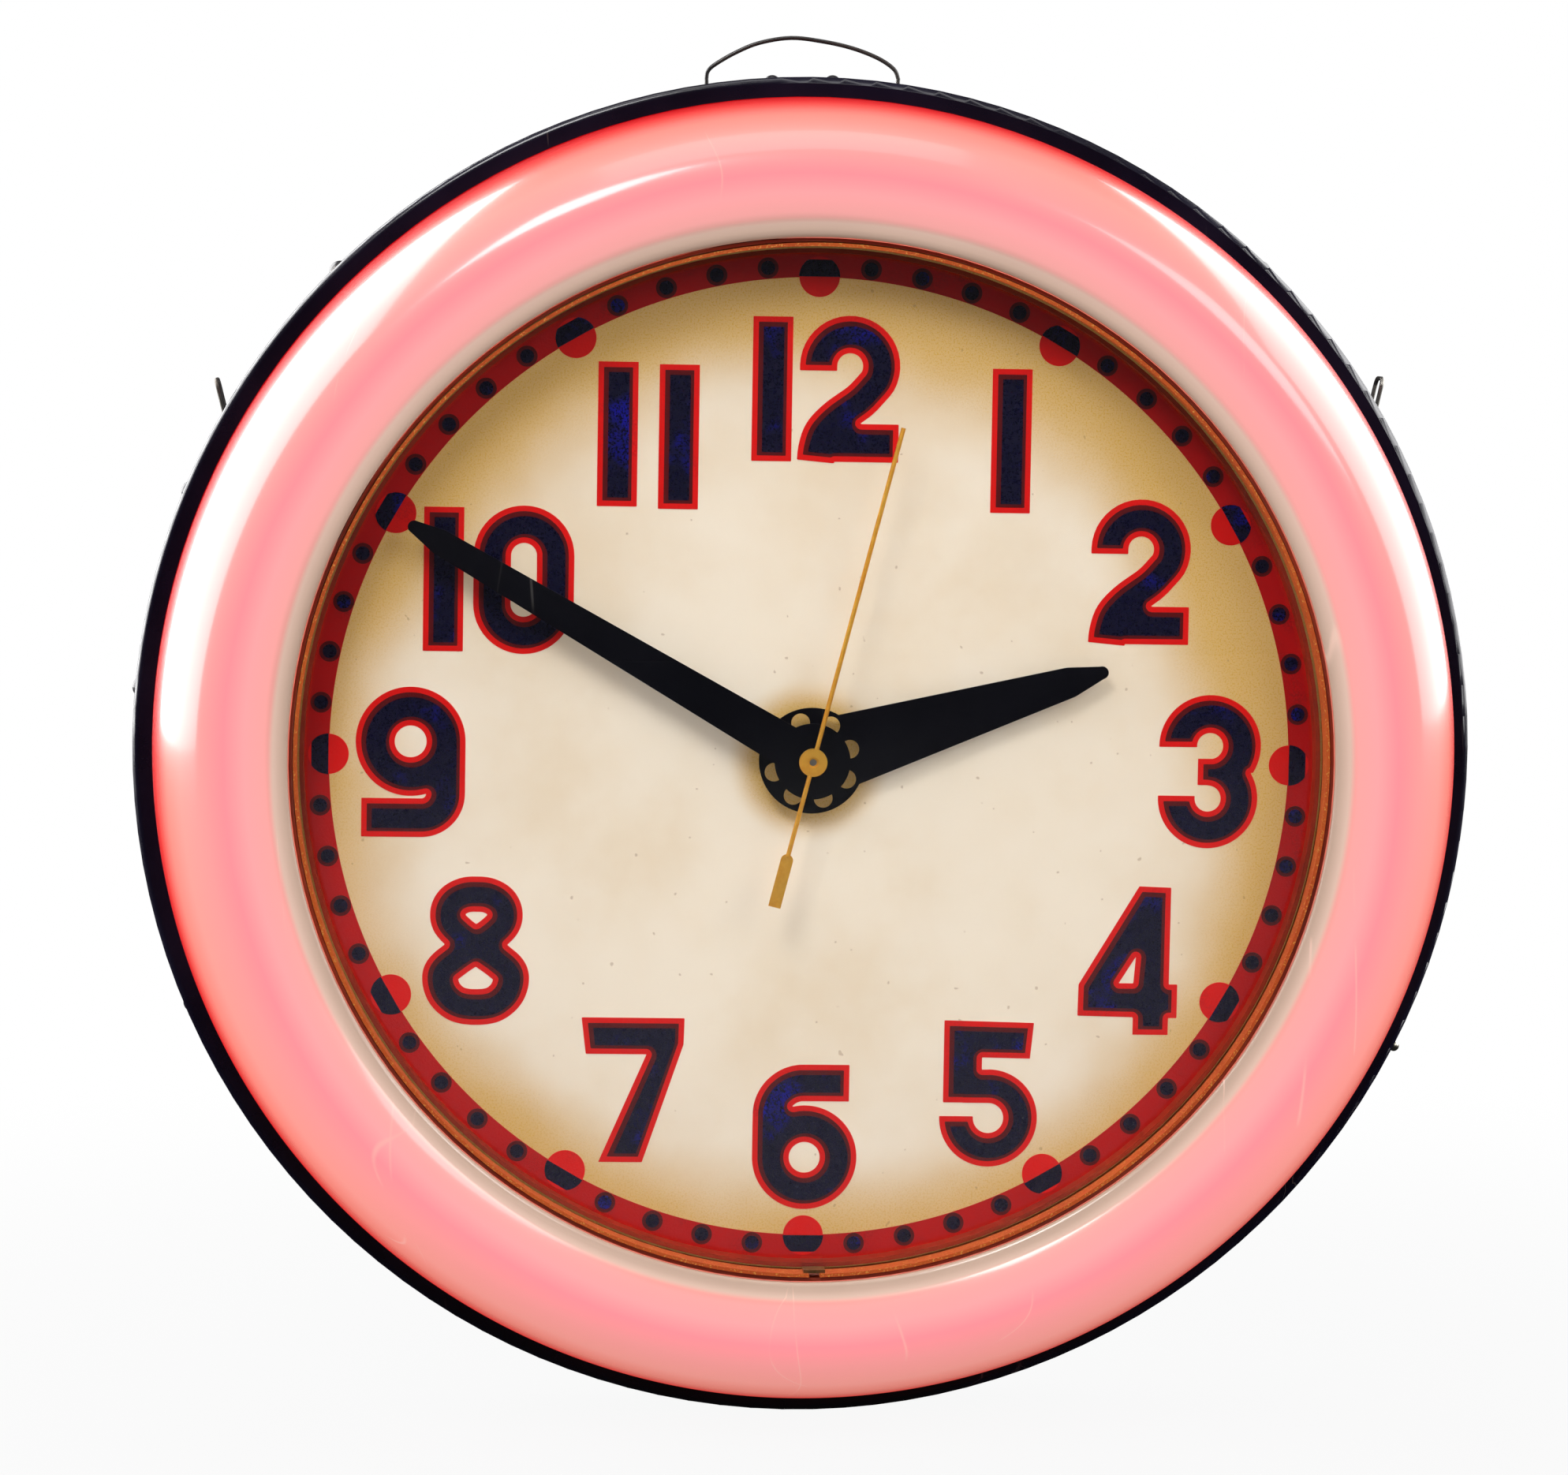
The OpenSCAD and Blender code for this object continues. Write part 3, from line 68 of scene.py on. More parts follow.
# ------------------------------------------------------------------ sizes, in millimetres
LIP_FRONT = 92.0
RING_FOOT_R = 246.1
RING_CREST_R = 216.76
RING_CREST = 156.0
THROAT_R = 193.4
THROAT = 150.0
RING_WALL = 2.4
RING_LIP = 5.4
RING_FLANGE_R = 251.5
FLANGE_FRONT = LIP_FRONT - 1.3
FLANGE_BACK = LIP_FRONT - 3.9
DIAL_FACE = 128.0
GLASS_R = 191.5
GLASS_BACK = 137.0
GLASS_DOME = 15.0
GLASS_T = 2.5
INK = 0.12
DIAL_TURN = math.radians(1.0)


def on_face(x, up, level):
    """x to the viewer's right, up, and level in front of the wall, in mm, as a point of the frame."""
    return Vector((x * MM, -level * MM, up * MM))


def colour(r, g, b):
    """A colour given as 0 to 255 display values, as the linear values that Blender wants."""
    def linear(v):
        v /= 255
        return v / 12.92 if v <= 0.04045 else ((v + 0.055) / 1.055) ** 2.4
    return (linear(r), linear(g), linear(b), 1.0)


# ------------------------------------------------------------------ node helpers

def add(tree, kind, inputs=None, **settings):
    """A node with its settings, each input given a value or joined to a socket."""
    made = tree.nodes.new(kind)
    for name, value in settings.items():
        setattr(made, name, value)
    for name, value in (inputs or {}).items():
        socket = made.inputs[name]
        if isinstance(value, bpy.types.NodeSocket):
            tree.links.new(value, socket)
        else:
            socket.default_value = value
    return made


def calc(tree, operation, a, b=0.0, c=0.0):
    """One sum on two or three values."""
    made = add(tree, "ShaderNodeMath", {0: a, 1: b, 2: c}, operation=operation)
    return made.outputs[0]


def rise(tree, value, start, end):
    """0 below start, 1 above end, smooth between. With start above end it falls instead."""
    low, high = min(start, end), max(start, end)
    made = add(tree, "ShaderNodeMapRange",
               {"Value": value, "From Min": low, "From Max": high,
                "To Min": 0.0 if start <= end else 1.0, "To Max": 1.0 if start <= end else 0.0},
               interpolation_type="SMOOTHSTEP")
    return made.outputs["Result"]


def scaled(tree, value, low, high):
    """0 to 1 stretched to low to high."""
    return calc(tree, "MULTIPLY_ADD", value, high - low, low)


def blend(tree, share, a, b):
    """Colour a going over to colour b as the share goes from 0 to 1."""
    made = add(tree, "ShaderNodeMix", data_type="RGBA")
    for index, value in ((0, share), (6, a), (7, b)):
        if isinstance(value, bpy.types.NodeSocket):
            tree.links.new(value, made.inputs[index])
        else:
            made.inputs[index].default_value = value
    return made.outputs[2]


def place(tree):
    """Where a point is on the object, which moves with the piece."""
    return add(tree, "ShaderNodeTexCoord").outputs["Object"]


def cloud(tree, where, scale, detail=4.0, rough=0.55):
    """Soft noise from 0 to 1."""
    made = add(tree, "ShaderNodeTexNoise",
               {"Vector": where, "Scale": scale, "Detail": detail, "Roughness": rough})
    return made.outputs["Fac"]


def stretched(tree, where, x, y, z):
    return add(tree, "ShaderNodeMapping", {"Vector": where, "Scale": (x, y, z)}).outputs["Vector"]


# ------------------------------------------------------------------ shared effects

def effect(name, inputs, outputs):
    """An empty node group with its float inputs and their defaults, and outputs of the kinds given."""
    tree = bpy.data.node_groups.new(name, "ShaderNodeTree")
    for label, default in inputs:
        socket = tree.interface.new_socket(name=label, in_out="INPUT", socket_type="NodeSocketFloat")
        socket.default_value = default
    for label, kind in outputs:
        tree.interface.new_socket(name=label, in_out="OUTPUT", socket_type=kind)
    return tree, tree.nodes.new("NodeGroupInput"), tree.nodes.new("NodeGroupOutput")


def make_clock_ruler():
    """Distance from the clock's axis, in mm."""
    tree, _, out = effect("clock_ruler", [], [("Radius", "NodeSocketFloat")])
    x, _, z = add(tree, "ShaderNodeSeparateXYZ", {"Vector": place(tree)}).outputs
    flat = add(tree, "ShaderNodeCombineXYZ", {"X": x, "Z": z})
    length = add(tree, "ShaderNodeVectorMath", {0: flat.outputs[0]}, operation="LENGTH")
    tree.links.new(calc(tree, "DIVIDE", length.outputs["Value"], MM), out.inputs["Radius"])


def make_edge_wear():
    """Where handling has rubbed the edges, broken up by noise."""
    tree, given, out = effect("edge_wear", [("Reach", 0.5), ("Breakup", 60.0)],
                              [("Mask", "NodeSocketFloat")])
    rounded = add(tree, "ShaderNodeBevel", {"Radius": 0.7 * MM}, samples=4)
    straight = add(tree, "ShaderNodeNewGeometry").outputs["Normal"]
    facing = add(tree, "ShaderNodeVectorMath", {0: rounded.outputs["Normal"], 1: straight},
                 operation="DOT_PRODUCT")
    edge = rise(tree, facing.outputs["Value"], 0.995, 0.90)
    patchy = rise(tree, cloud(tree, place(tree), given.outputs["Breakup"], 5.0, 0.65), 0.42, 0.62)
    worn = calc(tree, "MULTIPLY", edge, patchy)
    tree.links.new(calc(tree, "MULTIPLY", worn, given.outputs["Reach"]), out.inputs["Mask"])


def make_dust():
    """Fine dust in soft patches, thicker on what faces up."""
    tree, given, out = effect("dust", [("Amount", 0.4), ("Patch", 9.0)], [("Mask", "NodeSocketFloat")])
    normal = add(tree, "ShaderNodeNewGeometry").outputs["Normal"]
    up = rise(tree, add(tree, "ShaderNodeSeparateXYZ", {"Vector": normal}).outputs["Z"], -0.4, 1.0)
    soft = rise(tree, cloud(tree, place(tree), given.outputs["Patch"], 5.0, 0.6), 0.35, 0.75)
    fine = rise(tree, cloud(tree, place(tree), 900.0, 2.0, 0.5), 0.45, 0.7)
    both = calc(tree, "MULTIPLY", soft, scaled(tree, fine, 0.5, 1.0))
    both = calc(tree, "MULTIPLY", both, scaled(tree, up, 0.35, 1.0))
    tree.links.new(calc(tree, "MULTIPLY", both, given.outputs["Amount"]), out.inputs["Mask"])


def make_scratches():
    """A few thin, curved hairlines at two slants."""
    tree, given, out = effect("scratches", [("Density", 0.5), ("Scale", 14.0)],
                              [("Mask", "NodeSocketFloat")])
    where = place(tree)
    lines = []
    for slant, shift in ((0.5, 0.0), (-1.1, 3.7)):
        slanted = add(tree, "ShaderNodeMapping",
                      {"Vector": where, "Rotation": (0.3, slant, 0.2), "Location": (shift, shift, 0.0),
                       "Scale": (1.0, 1.0, 0.09)}).outputs["Vector"]
        field = add(tree, "ShaderNodeTexNoise",
                    {"Vector": slanted, "Scale": given.outputs["Scale"], "Detail": 1.0, "Distortion": 0.4})
        off = calc(tree, "ABSOLUTE", calc(tree, "SUBTRACT", field.outputs["Fac"], 0.5))
        lines.append(rise(tree, off, 0.0016, 0.0))
    gate = rise(tree, cloud(tree, where, 23.0, 2.0), 0.56, 0.66)
    both = calc(tree, "MAXIMUM", lines[0], lines[1])
    both = calc(tree, "MULTIPLY", both, gate)
    tree.links.new(calc(tree, "MULTIPLY", both, given.outputs["Density"]), out.inputs["Mask"])


def make_sprayed_skin():
    """The slight orange peel of sprayed enamel, and the level of its thin spots."""
    tree, given, out = effect("sprayed_skin", [("Grain", 260.0)],
                              [("Height", "NodeSocketFloat"), ("Tone", "NodeSocketFloat")])
    where = place(tree)
    peel = cloud(tree, where, given.outputs["Grain"], 2.0, 0.4)
    tree.links.new(peel, out.inputs["Height"])
    tree.links.new(rise(tree, cloud(tree, where, 17.0, 6.0, 0.6), 0.3, 0.7), out.inputs["Tone"])


def make_drawn_metal():
    """Fine drawn lines along one direction with slow tarnish."""
    tree, given, out = effect("drawn_metal", [("Fineness", 900.0), ("Tarnish scale", 45.0)],
                              [("Lines", "NodeSocketFloat"), ("Tarnish", "NodeSocketFloat")])
    where = place(tree)
    long_way = stretched(tree, where, 1.0, 0.06, 0.06)
    tree.links.new(cloud(tree, long_way, given.outputs["Fineness"], 3.0, 0.6), out.inputs["Lines"])
    spots = cloud(tree, where, given.outputs["Tarnish scale"], 6.0, 0.65)
    tree.links.new(rise(tree, spots, 0.35, 0.72), out.inputs["Tarnish"])


def make_spun_marks():
    """Circles that a spinning tool leaves in sheet steel."""
    tree, given, out = effect("spun_marks", [("Pitch", 2.2)], [("Height", "NodeSocketFloat")])
    ruler = add(tree, "ShaderNodeGroup", node_tree=bpy.data.node_groups["clock_ruler"])
    wave = calc(tree, "SINE", calc(tree, "DIVIDE", ruler.outputs["Radius"],
                                   calc(tree, "DIVIDE", given.outputs["Pitch"], 2 * math.pi)))
    broken = cloud(tree, place(tree), 30.0, 3.0)
    tree.links.new(calc(tree, "MULTIPLY", scaled(tree, wave, 0.5, 1.0), broken), out.inputs["Height"])


make_clock_ruler()
make_edge_wear()
make_dust()
make_scratches()
make_sprayed_skin()
make_drawn_metal()
make_spun_marks()


def use(tree, group, **values):
    """One of the shared effects, placed in a material with its own values."""
    made = add(tree, "ShaderNodeGroup", node_tree=bpy.data.node_groups[group])
    for label, value in values.items():
        made.inputs[label.replace("_", " ")].default_value = value
    return made.outputs


# ------------------------------------------------------------------ finishes
finishes = {}


def new_finish(name, **plain):
    """A material with one Principled shader, whose uniform numbers are set on its own sockets."""
    material = bpy.data.materials.new(name)
    material.use_nodes = True
    tree = material.node_tree
    shader = next(n for n in tree.nodes if n.type == "BSDF_PRINCIPLED")
    for label, value in plain.items():
        shader.inputs[label.replace("_", " ")].default_value = value
    finishes[name] = material
    return tree, shader


def mix_out(tree, share, first, second):
    """Sends a mix of two shaders to the material's output."""
    both = add(tree, "ShaderNodeMixShader", {0: share, 1: first.outputs[0], 2: second.outputs[0]})
    out = next(n for n in tree.nodes if n.type == "OUTPUT_MATERIAL")
    tree.links.new(both.outputs[0], out.inputs["Surface"])


def join(tree, value, shader, label):
    tree.links.new(value, shader.inputs[label])


def bump(tree, shader, height, distance):
    """Relief of the given height field, whose full height is the distance in metres."""
    made = add(tree, "ShaderNodeBump", {"Height": height, "Distance": distance, "Strength": 1.0})
    join(tree, made.outputs["Normal"], shader, "Normal")


def enamel(name, main, thin, bare, rough, wear, dust, coat, grain=260.0, spun=0.0, gloss=0.5):
    """Sprayed enamel on steel: tone, worn edges, scratches, dust and orange peel."""
    tree, shader = new_finish(name, Coat_Roughness=0.08, Coat_IOR=1.5, Specular_IOR_Level=gloss)
    skin = use(tree, "sprayed_skin", Grain=grain)
    worn = use(tree, "edge_wear", Reach=wear)["Mask"]
    hair = use(tree, "scratches", Density=0.6)["Mask"]
    dirt = use(tree, "dust", Amount=dust)["Mask"]
    tone = blend(tree, skin["Tone"], main, thin)
    marked = blend(tree, calc(tree, "MULTIPLY", hair, 0.5), tone, colour(120, 116, 112))
    chipped = blend(tree, worn, marked, bare)
    dusty = blend(tree, dirt, chipped, colour(150, 142, 130))
    join(tree, dusty, shader, "Base Color")
    matt = calc(tree, "ADD", scaled(tree, skin["Tone"], rough, rough + 0.08),
                calc(tree, "MULTIPLY", dirt, 0.5))
    join(tree, calc(tree, "MAXIMUM", matt, scaled(tree, hair, 0.0, 0.5)), shader, "Roughness")
    join(tree, calc(tree, "MULTIPLY", worn, 0.8), shader, "Metallic")
    join(tree, scaled(tree, calc(tree, "MAXIMUM", worn, dirt), coat, 0.0), shader, "Coat Weight")
    height = calc(tree, "SUBTRACT", calc(tree, "MULTIPLY", skin["Height"], 0.5), worn)
    if spun:
        marks = use(tree, "spun_marks")["Height"]
        height = calc(tree, "ADD", height, calc(tree, "MULTIPLY", marks, spun))
    bump(tree, shader, height, 0.00006)


def metal(name, bright, dull, rough, dirt=0.15):
    """Bare or plated metal with drawn lines and tarnish."""
    tree, shader = new_finish(name, Metallic=1.0)
    drawn = use(tree, "drawn_metal")
    grime = use(tree, "dust", Amount=dirt, Patch=30.0)["Mask"]
    tarnished = blend(tree, drawn["Tarnish"], bright, dull)
    join(tree, blend(tree, grime, tarnished, colour(70, 62, 52)), shader, "Base Color")
    shine = calc(tree, "ADD", scaled(tree, drawn["Tarnish"], rough, rough + 0.18),
                 calc(tree, "MULTIPLY", drawn["Lines"], 0.08))
    join(tree, calc(tree, "ADD", shine, calc(tree, "MULTIPLY", grime, 0.4)), shader, "Roughness")
    bump(tree, shader, drawn["Lines"], 0.00002)


def moulded(name, main, other, rough, grain, depth=0.00005, coat=0.0):
    """Rubber, plastic, ceramic, paper or cloth with a fine grain and uneven tone."""
    tree, shader = new_finish(name, Coat_Weight=coat, Coat_Roughness=0.12)
    where = place(tree)
    tone = rise(tree, cloud(tree, where, 38.0, 5.0, 0.6), 0.3, 0.7)
    fine = cloud(tree, where, grain, 3.0, 0.6)
    dirt = use(tree, "dust", Amount=0.3, Patch=24.0)["Mask"]
    mottled = blend(tree, tone, main, other)
    join(tree, blend(tree, dirt, mottled, colour(130, 122, 110)), shader, "Base Color")
    join(tree, calc(tree, "ADD", scaled(tree, fine, rough - 0.05, rough + 0.08),
                    calc(tree, "MULTIPLY", dirt, 0.3)), shader, "Roughness")
    bump(tree, shader, fine, depth)


def woven(name, main, other, pitch):
    """Braided cloth over a wire."""
    tree, shader = new_finish(name, Sheen_Weight=0.3, Roughness=0.85)
    where = place(tree)
    slant_a = add(tree, "ShaderNodeTexWave", {"Vector": where, "Scale": pitch, "Distortion": 0.3},
                  bands_direction="DIAGONAL").outputs["Fac"]
    slant_b = add(tree, "ShaderNodeTexWave",
                  {"Vector": stretched(tree, where, -1.0, 1.0, 1.0), "Scale": pitch, "Distortion": 0.3},
                  bands_direction="DIAGONAL").outputs["Fac"]
    braid = calc(tree, "MAXIMUM", slant_a, slant_b)
    join(tree, blend(tree, braid, other, main), shader, "Base Color")
    bump(tree, shader, braid, 0.0002)


# the ring's painted glow, as emission colours by distance from the clock's axis from the throat to the
# foot: dim cream at the lip (painted shade), pink over the crest, red low on the outer wall
RAMP_START = 190.0
RAMP_SPAN = 60.0
RING_GLOW = [(193.0, (110, 84, 70)), (196.5, (172, 142, 128)), (199.5, (204, 168, 156)),
             (202.0, (246, 180, 176)), (209.0, (252, 180, 182)), (216.5, (255, 156, 167)),
             (224.0, (254, 166, 165)), (233.0, (252, 168, 157)), (238.5, (252, 146, 130)),
             (241.8, (250, 92, 80)), (244.0, (246, 48, 46)), (RING_FOOT_R, (206, 12, 18))]


def ring_plastic():
    """The light ring, with the tube's glow painted in as emission: pink over its crest, red low on its
    outer wall, pale and dimmer on the lip by the glass as painted shade.
    """
    tree, shader = new_finish("ring_plastic", Roughness=0.24, Coat_Weight=0.5, Coat_Roughness=0.1, IOR=1.49,
                              Emission_Strength=0.78)
    ruler = use(tree, "clock_ruler")
    where = place(tree)
    wander = calc(tree, "MULTIPLY", calc(tree, "SUBTRACT", cloud(tree, where, 6.0, 3.0), 0.5), 5.0)
    wander = calc(tree, "MULTIPLY", wander, rise(tree, ruler["Radius"], 238.0, 224.0))
    across = calc(tree, "ADD", ruler["Radius"], wander)
    # painted glow: the emission colour runs along the ramp across the ring, its bands wandering a little on
    # the crest
    glow = add(tree, "ShaderNodeValToRGB",
               {"Fac": calc(tree, "DIVIDE", calc(tree, "SUBTRACT", across, RAMP_START), RAMP_SPAN)})
    bar = glow.color_ramp
    while len(bar.elements) < len(RING_GLOW):
        bar.elements.new(0.5)
    for element, (r, rgb) in zip(bar.elements, RING_GLOW):
        element.position = (r - RAMP_START) / RAMP_SPAN
        element.color = colour(*rgb)
    # real hairline scratches, painted into the glow as paler, brighter lines
    hair = use(tree, "scratches", Density=0.5, Scale=9.0)["Mask"]
    join(tree, blend(tree, hair, glow.outputs["Color"], colour(255, 206, 192)), shader, "Emission Color")
    # painted glow in the base colour too: a red tint over the ring, deep red low on the outer wall, a paler
    # grey cream at the lip
    lip = rise(tree, ruler["Radius"], 201.0, 198.5)
    low = rise(tree, ruler["Radius"], 239.5, 244.5)
    body = blend(tree, lip, colour(196, 84, 80), colour(190, 166, 148))
    body = blend(tree, low, body, colour(120, 8, 10))
    dirt = use(tree, "dust", Amount=0.12, Patch=14.0)["Mask"]
    join(tree, blend(tree, dirt, body, colour(150, 130, 118)), shader, "Base Color")
    join(tree, scaled(tree, low, 0.5, 0.05), shader, "Coat Weight")
    wavy = calc(tree, "MULTIPLY", cloud(tree, where, 26.0, 2.0, 0.4), 0.6)
    bump(tree, shader, calc(tree, "SUBTRACT", wavy, calc(tree, "MULTIPLY", hair, 0.2)), 0.00012)


def dial_print():
    """Ivory enamel with a painted golden shade towards the edge, reaching further in at the upper right,
    and a painted golden shadow round the hands' arbor; a faint emission paints in light from the ring.
    """
    tree, shader = new_finish("dial_print", Roughness=0.34, Coat_Weight=0.35, Coat_Roughness=0.05,
                              Emission_Strength=0.16)
    ruler = use(tree, "clock_ruler")
    where = place(tree)
    drift = calc(tree, "MULTIPLY", calc(tree, "SUBTRACT", cloud(tree, where, 9.0, 3.0), 0.5), 46.0)
    split = add(tree, "ShaderNodeSeparateXYZ", {"Vector": where}).outputs
    high = rise(tree, calc(tree, "MULTIPLY_ADD", split["X"], 0.35, split["Z"]), -0.12, 0.16)
    reach = calc(tree, "ADD", calc(tree, "ADD", ruler["Radius"], drift), scaled(tree, high, -7.0, 12.0))
    # painted shade: a golden fade inwards from the rim, reaching further in at the upper right, and a
    # painted golden shadow round the hub under the hands
    edge = rise(tree, reach, 138.0, 177.0)
    middle = rise(tree, calc(tree, "MULTIPLY_ADD", drift, 0.25, ruler["Radius"]), 31.0, 18.0)
    fleck = rise(tree, cloud(tree, where, 1500.0, 2.0, 0.7), 0.52, 0.60)
    painted_gold_shade = calc(tree, "MULTIPLY", calc(tree, "MAXIMUM", edge, middle), scaled(tree, fleck, 0.82, 1.0))
    cloudy = rise(tree, cloud(tree, where, 13.0, 6.0, 0.6), 0.35, 0.75)
    ivory = blend(tree, cloudy, colour(238, 224, 204), colour(228, 208, 180))
    face = blend(tree, painted_gold_shade, ivory, colour(203, 158, 66))
    spots = rise(tree, cloud(tree, where, 330.0, 1.0), 0.775, 0.80)
    face = blend(tree, calc(tree, "MULTIPLY", spots, 0.4), face, colour(150, 110, 60))
    join(tree, face, shader, "Base Color")
    # a faint emission of the face's own colour paints in light from the ring
    join(tree, face, shader, "Emission Color")
    bump(tree, shader, cloud(tree, where, 220.0, 2.0, 0.4), 0.00003)


def ink(name, main, patch_colour, rough=0.3):
    """Screen-printed ink with pin-holes and a faint gloss, and soft patches of a second colour: a darker
    tone in the reds, a painted reflection glint in the blue.
    """
    tree, shader = new_finish(name, Coat_Weight=0.06, Coat_Roughness=0.1, Specular_IOR_Level=0.3)
    where = place(tree)
    patch = rise(tree, cloud(tree, where, 42.0, 3.0, 0.6), 0.54, 0.74)
    grain = rise(tree, cloud(tree, where, 1400.0, 2.0, 0.6), 0.40, 0.62)
    join(tree, blend(tree, calc(tree, "MULTIPLY", patch, grain), main, patch_colour), shader, "Base Color")
    join(tree, scaled(tree, grain, rough, rough + 0.15), shader, "Roughness")
    bump(tree, shader, grain, 0.00002)


def dial_glass():
    """Clear domed glass that lets lamps through."""
    tree, shader = new_finish("dial_glass", Base_Color=(1.0, 1.0, 1.0, 1.0), Roughness=0.0, IOR=1.5,
                              Transmission_Weight=1.0, Specular_IOR_Level=0.12)
    clear = add(tree, "ShaderNodeBsdfTransparent", {"Color": (0.98, 0.99, 0.985, 1.0)})
    path = add(tree, "ShaderNodeLightPath")
    mix_out(tree, path.outputs["Is Shadow Ray"], shader, clear)


def band_brass():
    """The lacquered brass band round the glass, with the light from the ring painted in as emission of its
    own colour.
    """
    tree, shader = new_finish("band_brass", Metallic=0.35, Coat_Weight=0.2, Coat_Roughness=0.2,
                              Emission_Strength=0.22)
    where = place(tree)
    tone = rise(tree, cloud(tree, where, 20.0, 6.0, 0.65), 0.3, 0.7)
    fleck = rise(tree, cloud(tree, where, 1300.0, 2.0, 0.6), 0.58, 0.66)
    face = blend(tree, tone, colour(222, 104, 46), colour(196, 80, 34))
    face = blend(tree, fleck, face, colour(232, 160, 74))
    join(tree, face, shader, "Base Color")
    # painted light: the band glows in its own colour as if lit from the ring
    join(tree, face, shader, "Emission Color")
    join(tree, scaled(tree, tone, 0.3, 0.5), shader, "Roughness")
    bump(tree, shader, fleck, 0.00003)


def lit_tube():
    """The glowing glass tube under the ring."""
    tree, shader = new_finish("lit_tube", Roughness=0.08, Emission_Strength=2.4)
    glow = rise(tree, cloud(tree, place(tree), 40.0, 2.0), 0.2, 0.8)
    join(tree, blend(tree, glow, colour(255, 120, 96), colour(255, 150, 128)), shader, "Emission Color")
    join(tree, blend(tree, glow, colour(250, 200, 190), colour(250, 220, 210)), shader, "Base Color")


enamel("case_black", colour(12, 11, 15), colour(20, 18, 23), colour(96, 88, 82),
       rough=0.36, wear=0.5, dust=0.12, coat=0.15, spun=0.7)
enamel("bezel_black", colour(7, 3, 22), colour(11, 5, 32), colour(84, 76, 80),
       rough=0.24, wear=0.14, dust=0.03, coat=0.35)
enamel("screw_black", colour(16, 14, 22), colour(30, 26, 34), colour(150, 140, 126),
       rough=0.30, wear=1.0, dust=0.10, coat=0.2, grain=700.0)
enamel("white_enamel", colour(232, 228, 216), colour(218, 210, 194), colour(150, 140, 126),
       rough=0.35, wear=0.4, dust=0.25, coat=0.2)
enamel("red_lacquer", colour(150, 34, 18), colour(118, 22, 14), colour(120, 70, 40),
       rough=0.34, wear=0.3, dust=0.05, coat=0.2)
enamel("drum_steel", colour(172, 64, 30), colour(142, 46, 22), colour(160, 150, 136),
       rough=0.42, wear=0.4, dust=0.1, coat=0.1)
enamel("hand_black", colour(3, 3, 9), colour(6, 6, 14), colour(60, 48, 36),
       rough=0.46, wear=0.2, dust=0.01, coat=0.0, grain=800.0, gloss=0.06)
enamel("bail_wire", colour(16, 14, 18), colour(60, 54, 50), colour(150, 142, 130),
       rough=0.35, wear=0.9, dust=0.10, coat=0.2, grain=900.0)
metal("screw_steel", colour(176, 172, 164), colour(120, 112, 102), 0.28)
metal("zinc_steel", colour(188, 190, 188), colour(140, 140, 134), 0.34)
metal("loop_wire", colour(150, 146, 140), colour(74, 66, 60), 0.32)
metal("core_iron", colour(84, 80, 76), colour(54, 48, 44), 0.42, 0.3)
metal("switch_nickel", colour(200, 196, 184), colour(146, 138, 122), 0.22)
metal("plate_brass", colour(214, 176, 96), colour(158, 118, 56), 0.26)
metal("wheel_brass", colour(222, 184, 104), colour(170, 128, 62), 0.22)
metal("arbor_steel", colour(190, 190, 188), colour(130, 126, 120), 0.22)
metal("rotor_copper", colour(206, 132, 92), colour(140, 80, 52), 0.26)
metal("clip_brass", colour(206, 168, 120), colour(150, 110, 60), 0.3)
metal("hand_gold", colour(252, 194, 82), colour(222, 152, 54), 0.42, 0.1)
moulded("black_rubber", colour(18, 18, 18), colour(30, 29, 28), 0.6, 500.0)
moulded("clear_post", colour(206, 214, 210), colour(222, 226, 222), 0.12, 300.0, coat=0.6)
moulded("red_rubber", colour(118, 26, 20), colour(92, 20, 16), 0.55, 400.0)
moulded("porcelain", colour(234, 228, 212), colour(216, 206, 186), 0.16, 300.0, coat=0.7)
moulded("coil_paper", colour(176, 146, 98), colour(146, 114, 70), 0.75, 700.0, 0.0001)
moulded("bakelite", colour(38, 24, 18), colour(54, 32, 22), 0.24, 300.0, coat=0.4)
woven("cloth_wire", colour(196, 178, 140), colour(120, 92, 58), 900.0)
ring_plastic()
band_brass()
dial_print()
ink("ink_red", colour(222, 8, 4), colour(196, 4, 6))
ink("ink_ring_red", colour(184, 4, 8), colour(142, 6, 12))
# deep red for the painted shadows round the blue number cores and minute dots
ink("painted_shadow_red", colour(86, 4, 8), colour(58, 2, 8))
# the blue ink's bright second colour is a painted reflection glint
ink("ink_blue", colour(2, 2, 34), colour(3, 4, 150), 0.26)
dial_glass()
lit_tube()

for row in frame["record"]["subparts"]:
    carried = cad[row["node"]]
    carried.data.materials.clear()
    carried.data.materials.append(finishes[row["material_slot"]])


# ------------------------------------------------------------------ shape helpers

def finish_piece(name, mesh, finish, body="root", sharp=38):
    """Puts a mesh in the scene as a piece of the object, smooth except at its sharp edges."""
    work = bmesh.new()
    work.from_mesh(mesh)
    bmesh.ops.remove_doubles(work, verts=work.verts, dist=1e-7)
    bmesh.ops.recalc_face_normals(work, faces=work.faces)
    work.to_mesh(mesh)
    work.free()
    mesh.shade_smooth()
    mesh.set_sharp_from_angle(angle=math.radians(sharp))
    piece = bpy.data.objects.new(name, mesh)
    scene.collection.objects.link(piece)
    mesh.materials.append(finishes[finish])
    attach(piece, body)
    return piece


def swept(section, around, closed=True):
    """Points and faces of a section of (radius, level) points turned once round the clock's axis."""
    points, faces, n = [], [], len(section)
    for i in range(around):
        a = 2 * math.pi * i / around
        points += [on_face(r * math.sin(a), r * math.cos(a), level) for r, level in section]
        here, there = i * n, (i + 1) % around * n
        faces += [(here + j, here + (j + 1) % n, there + (j + 1) % n, there + j)
                  for j in range(n if closed else n - 1)]
    return points, faces


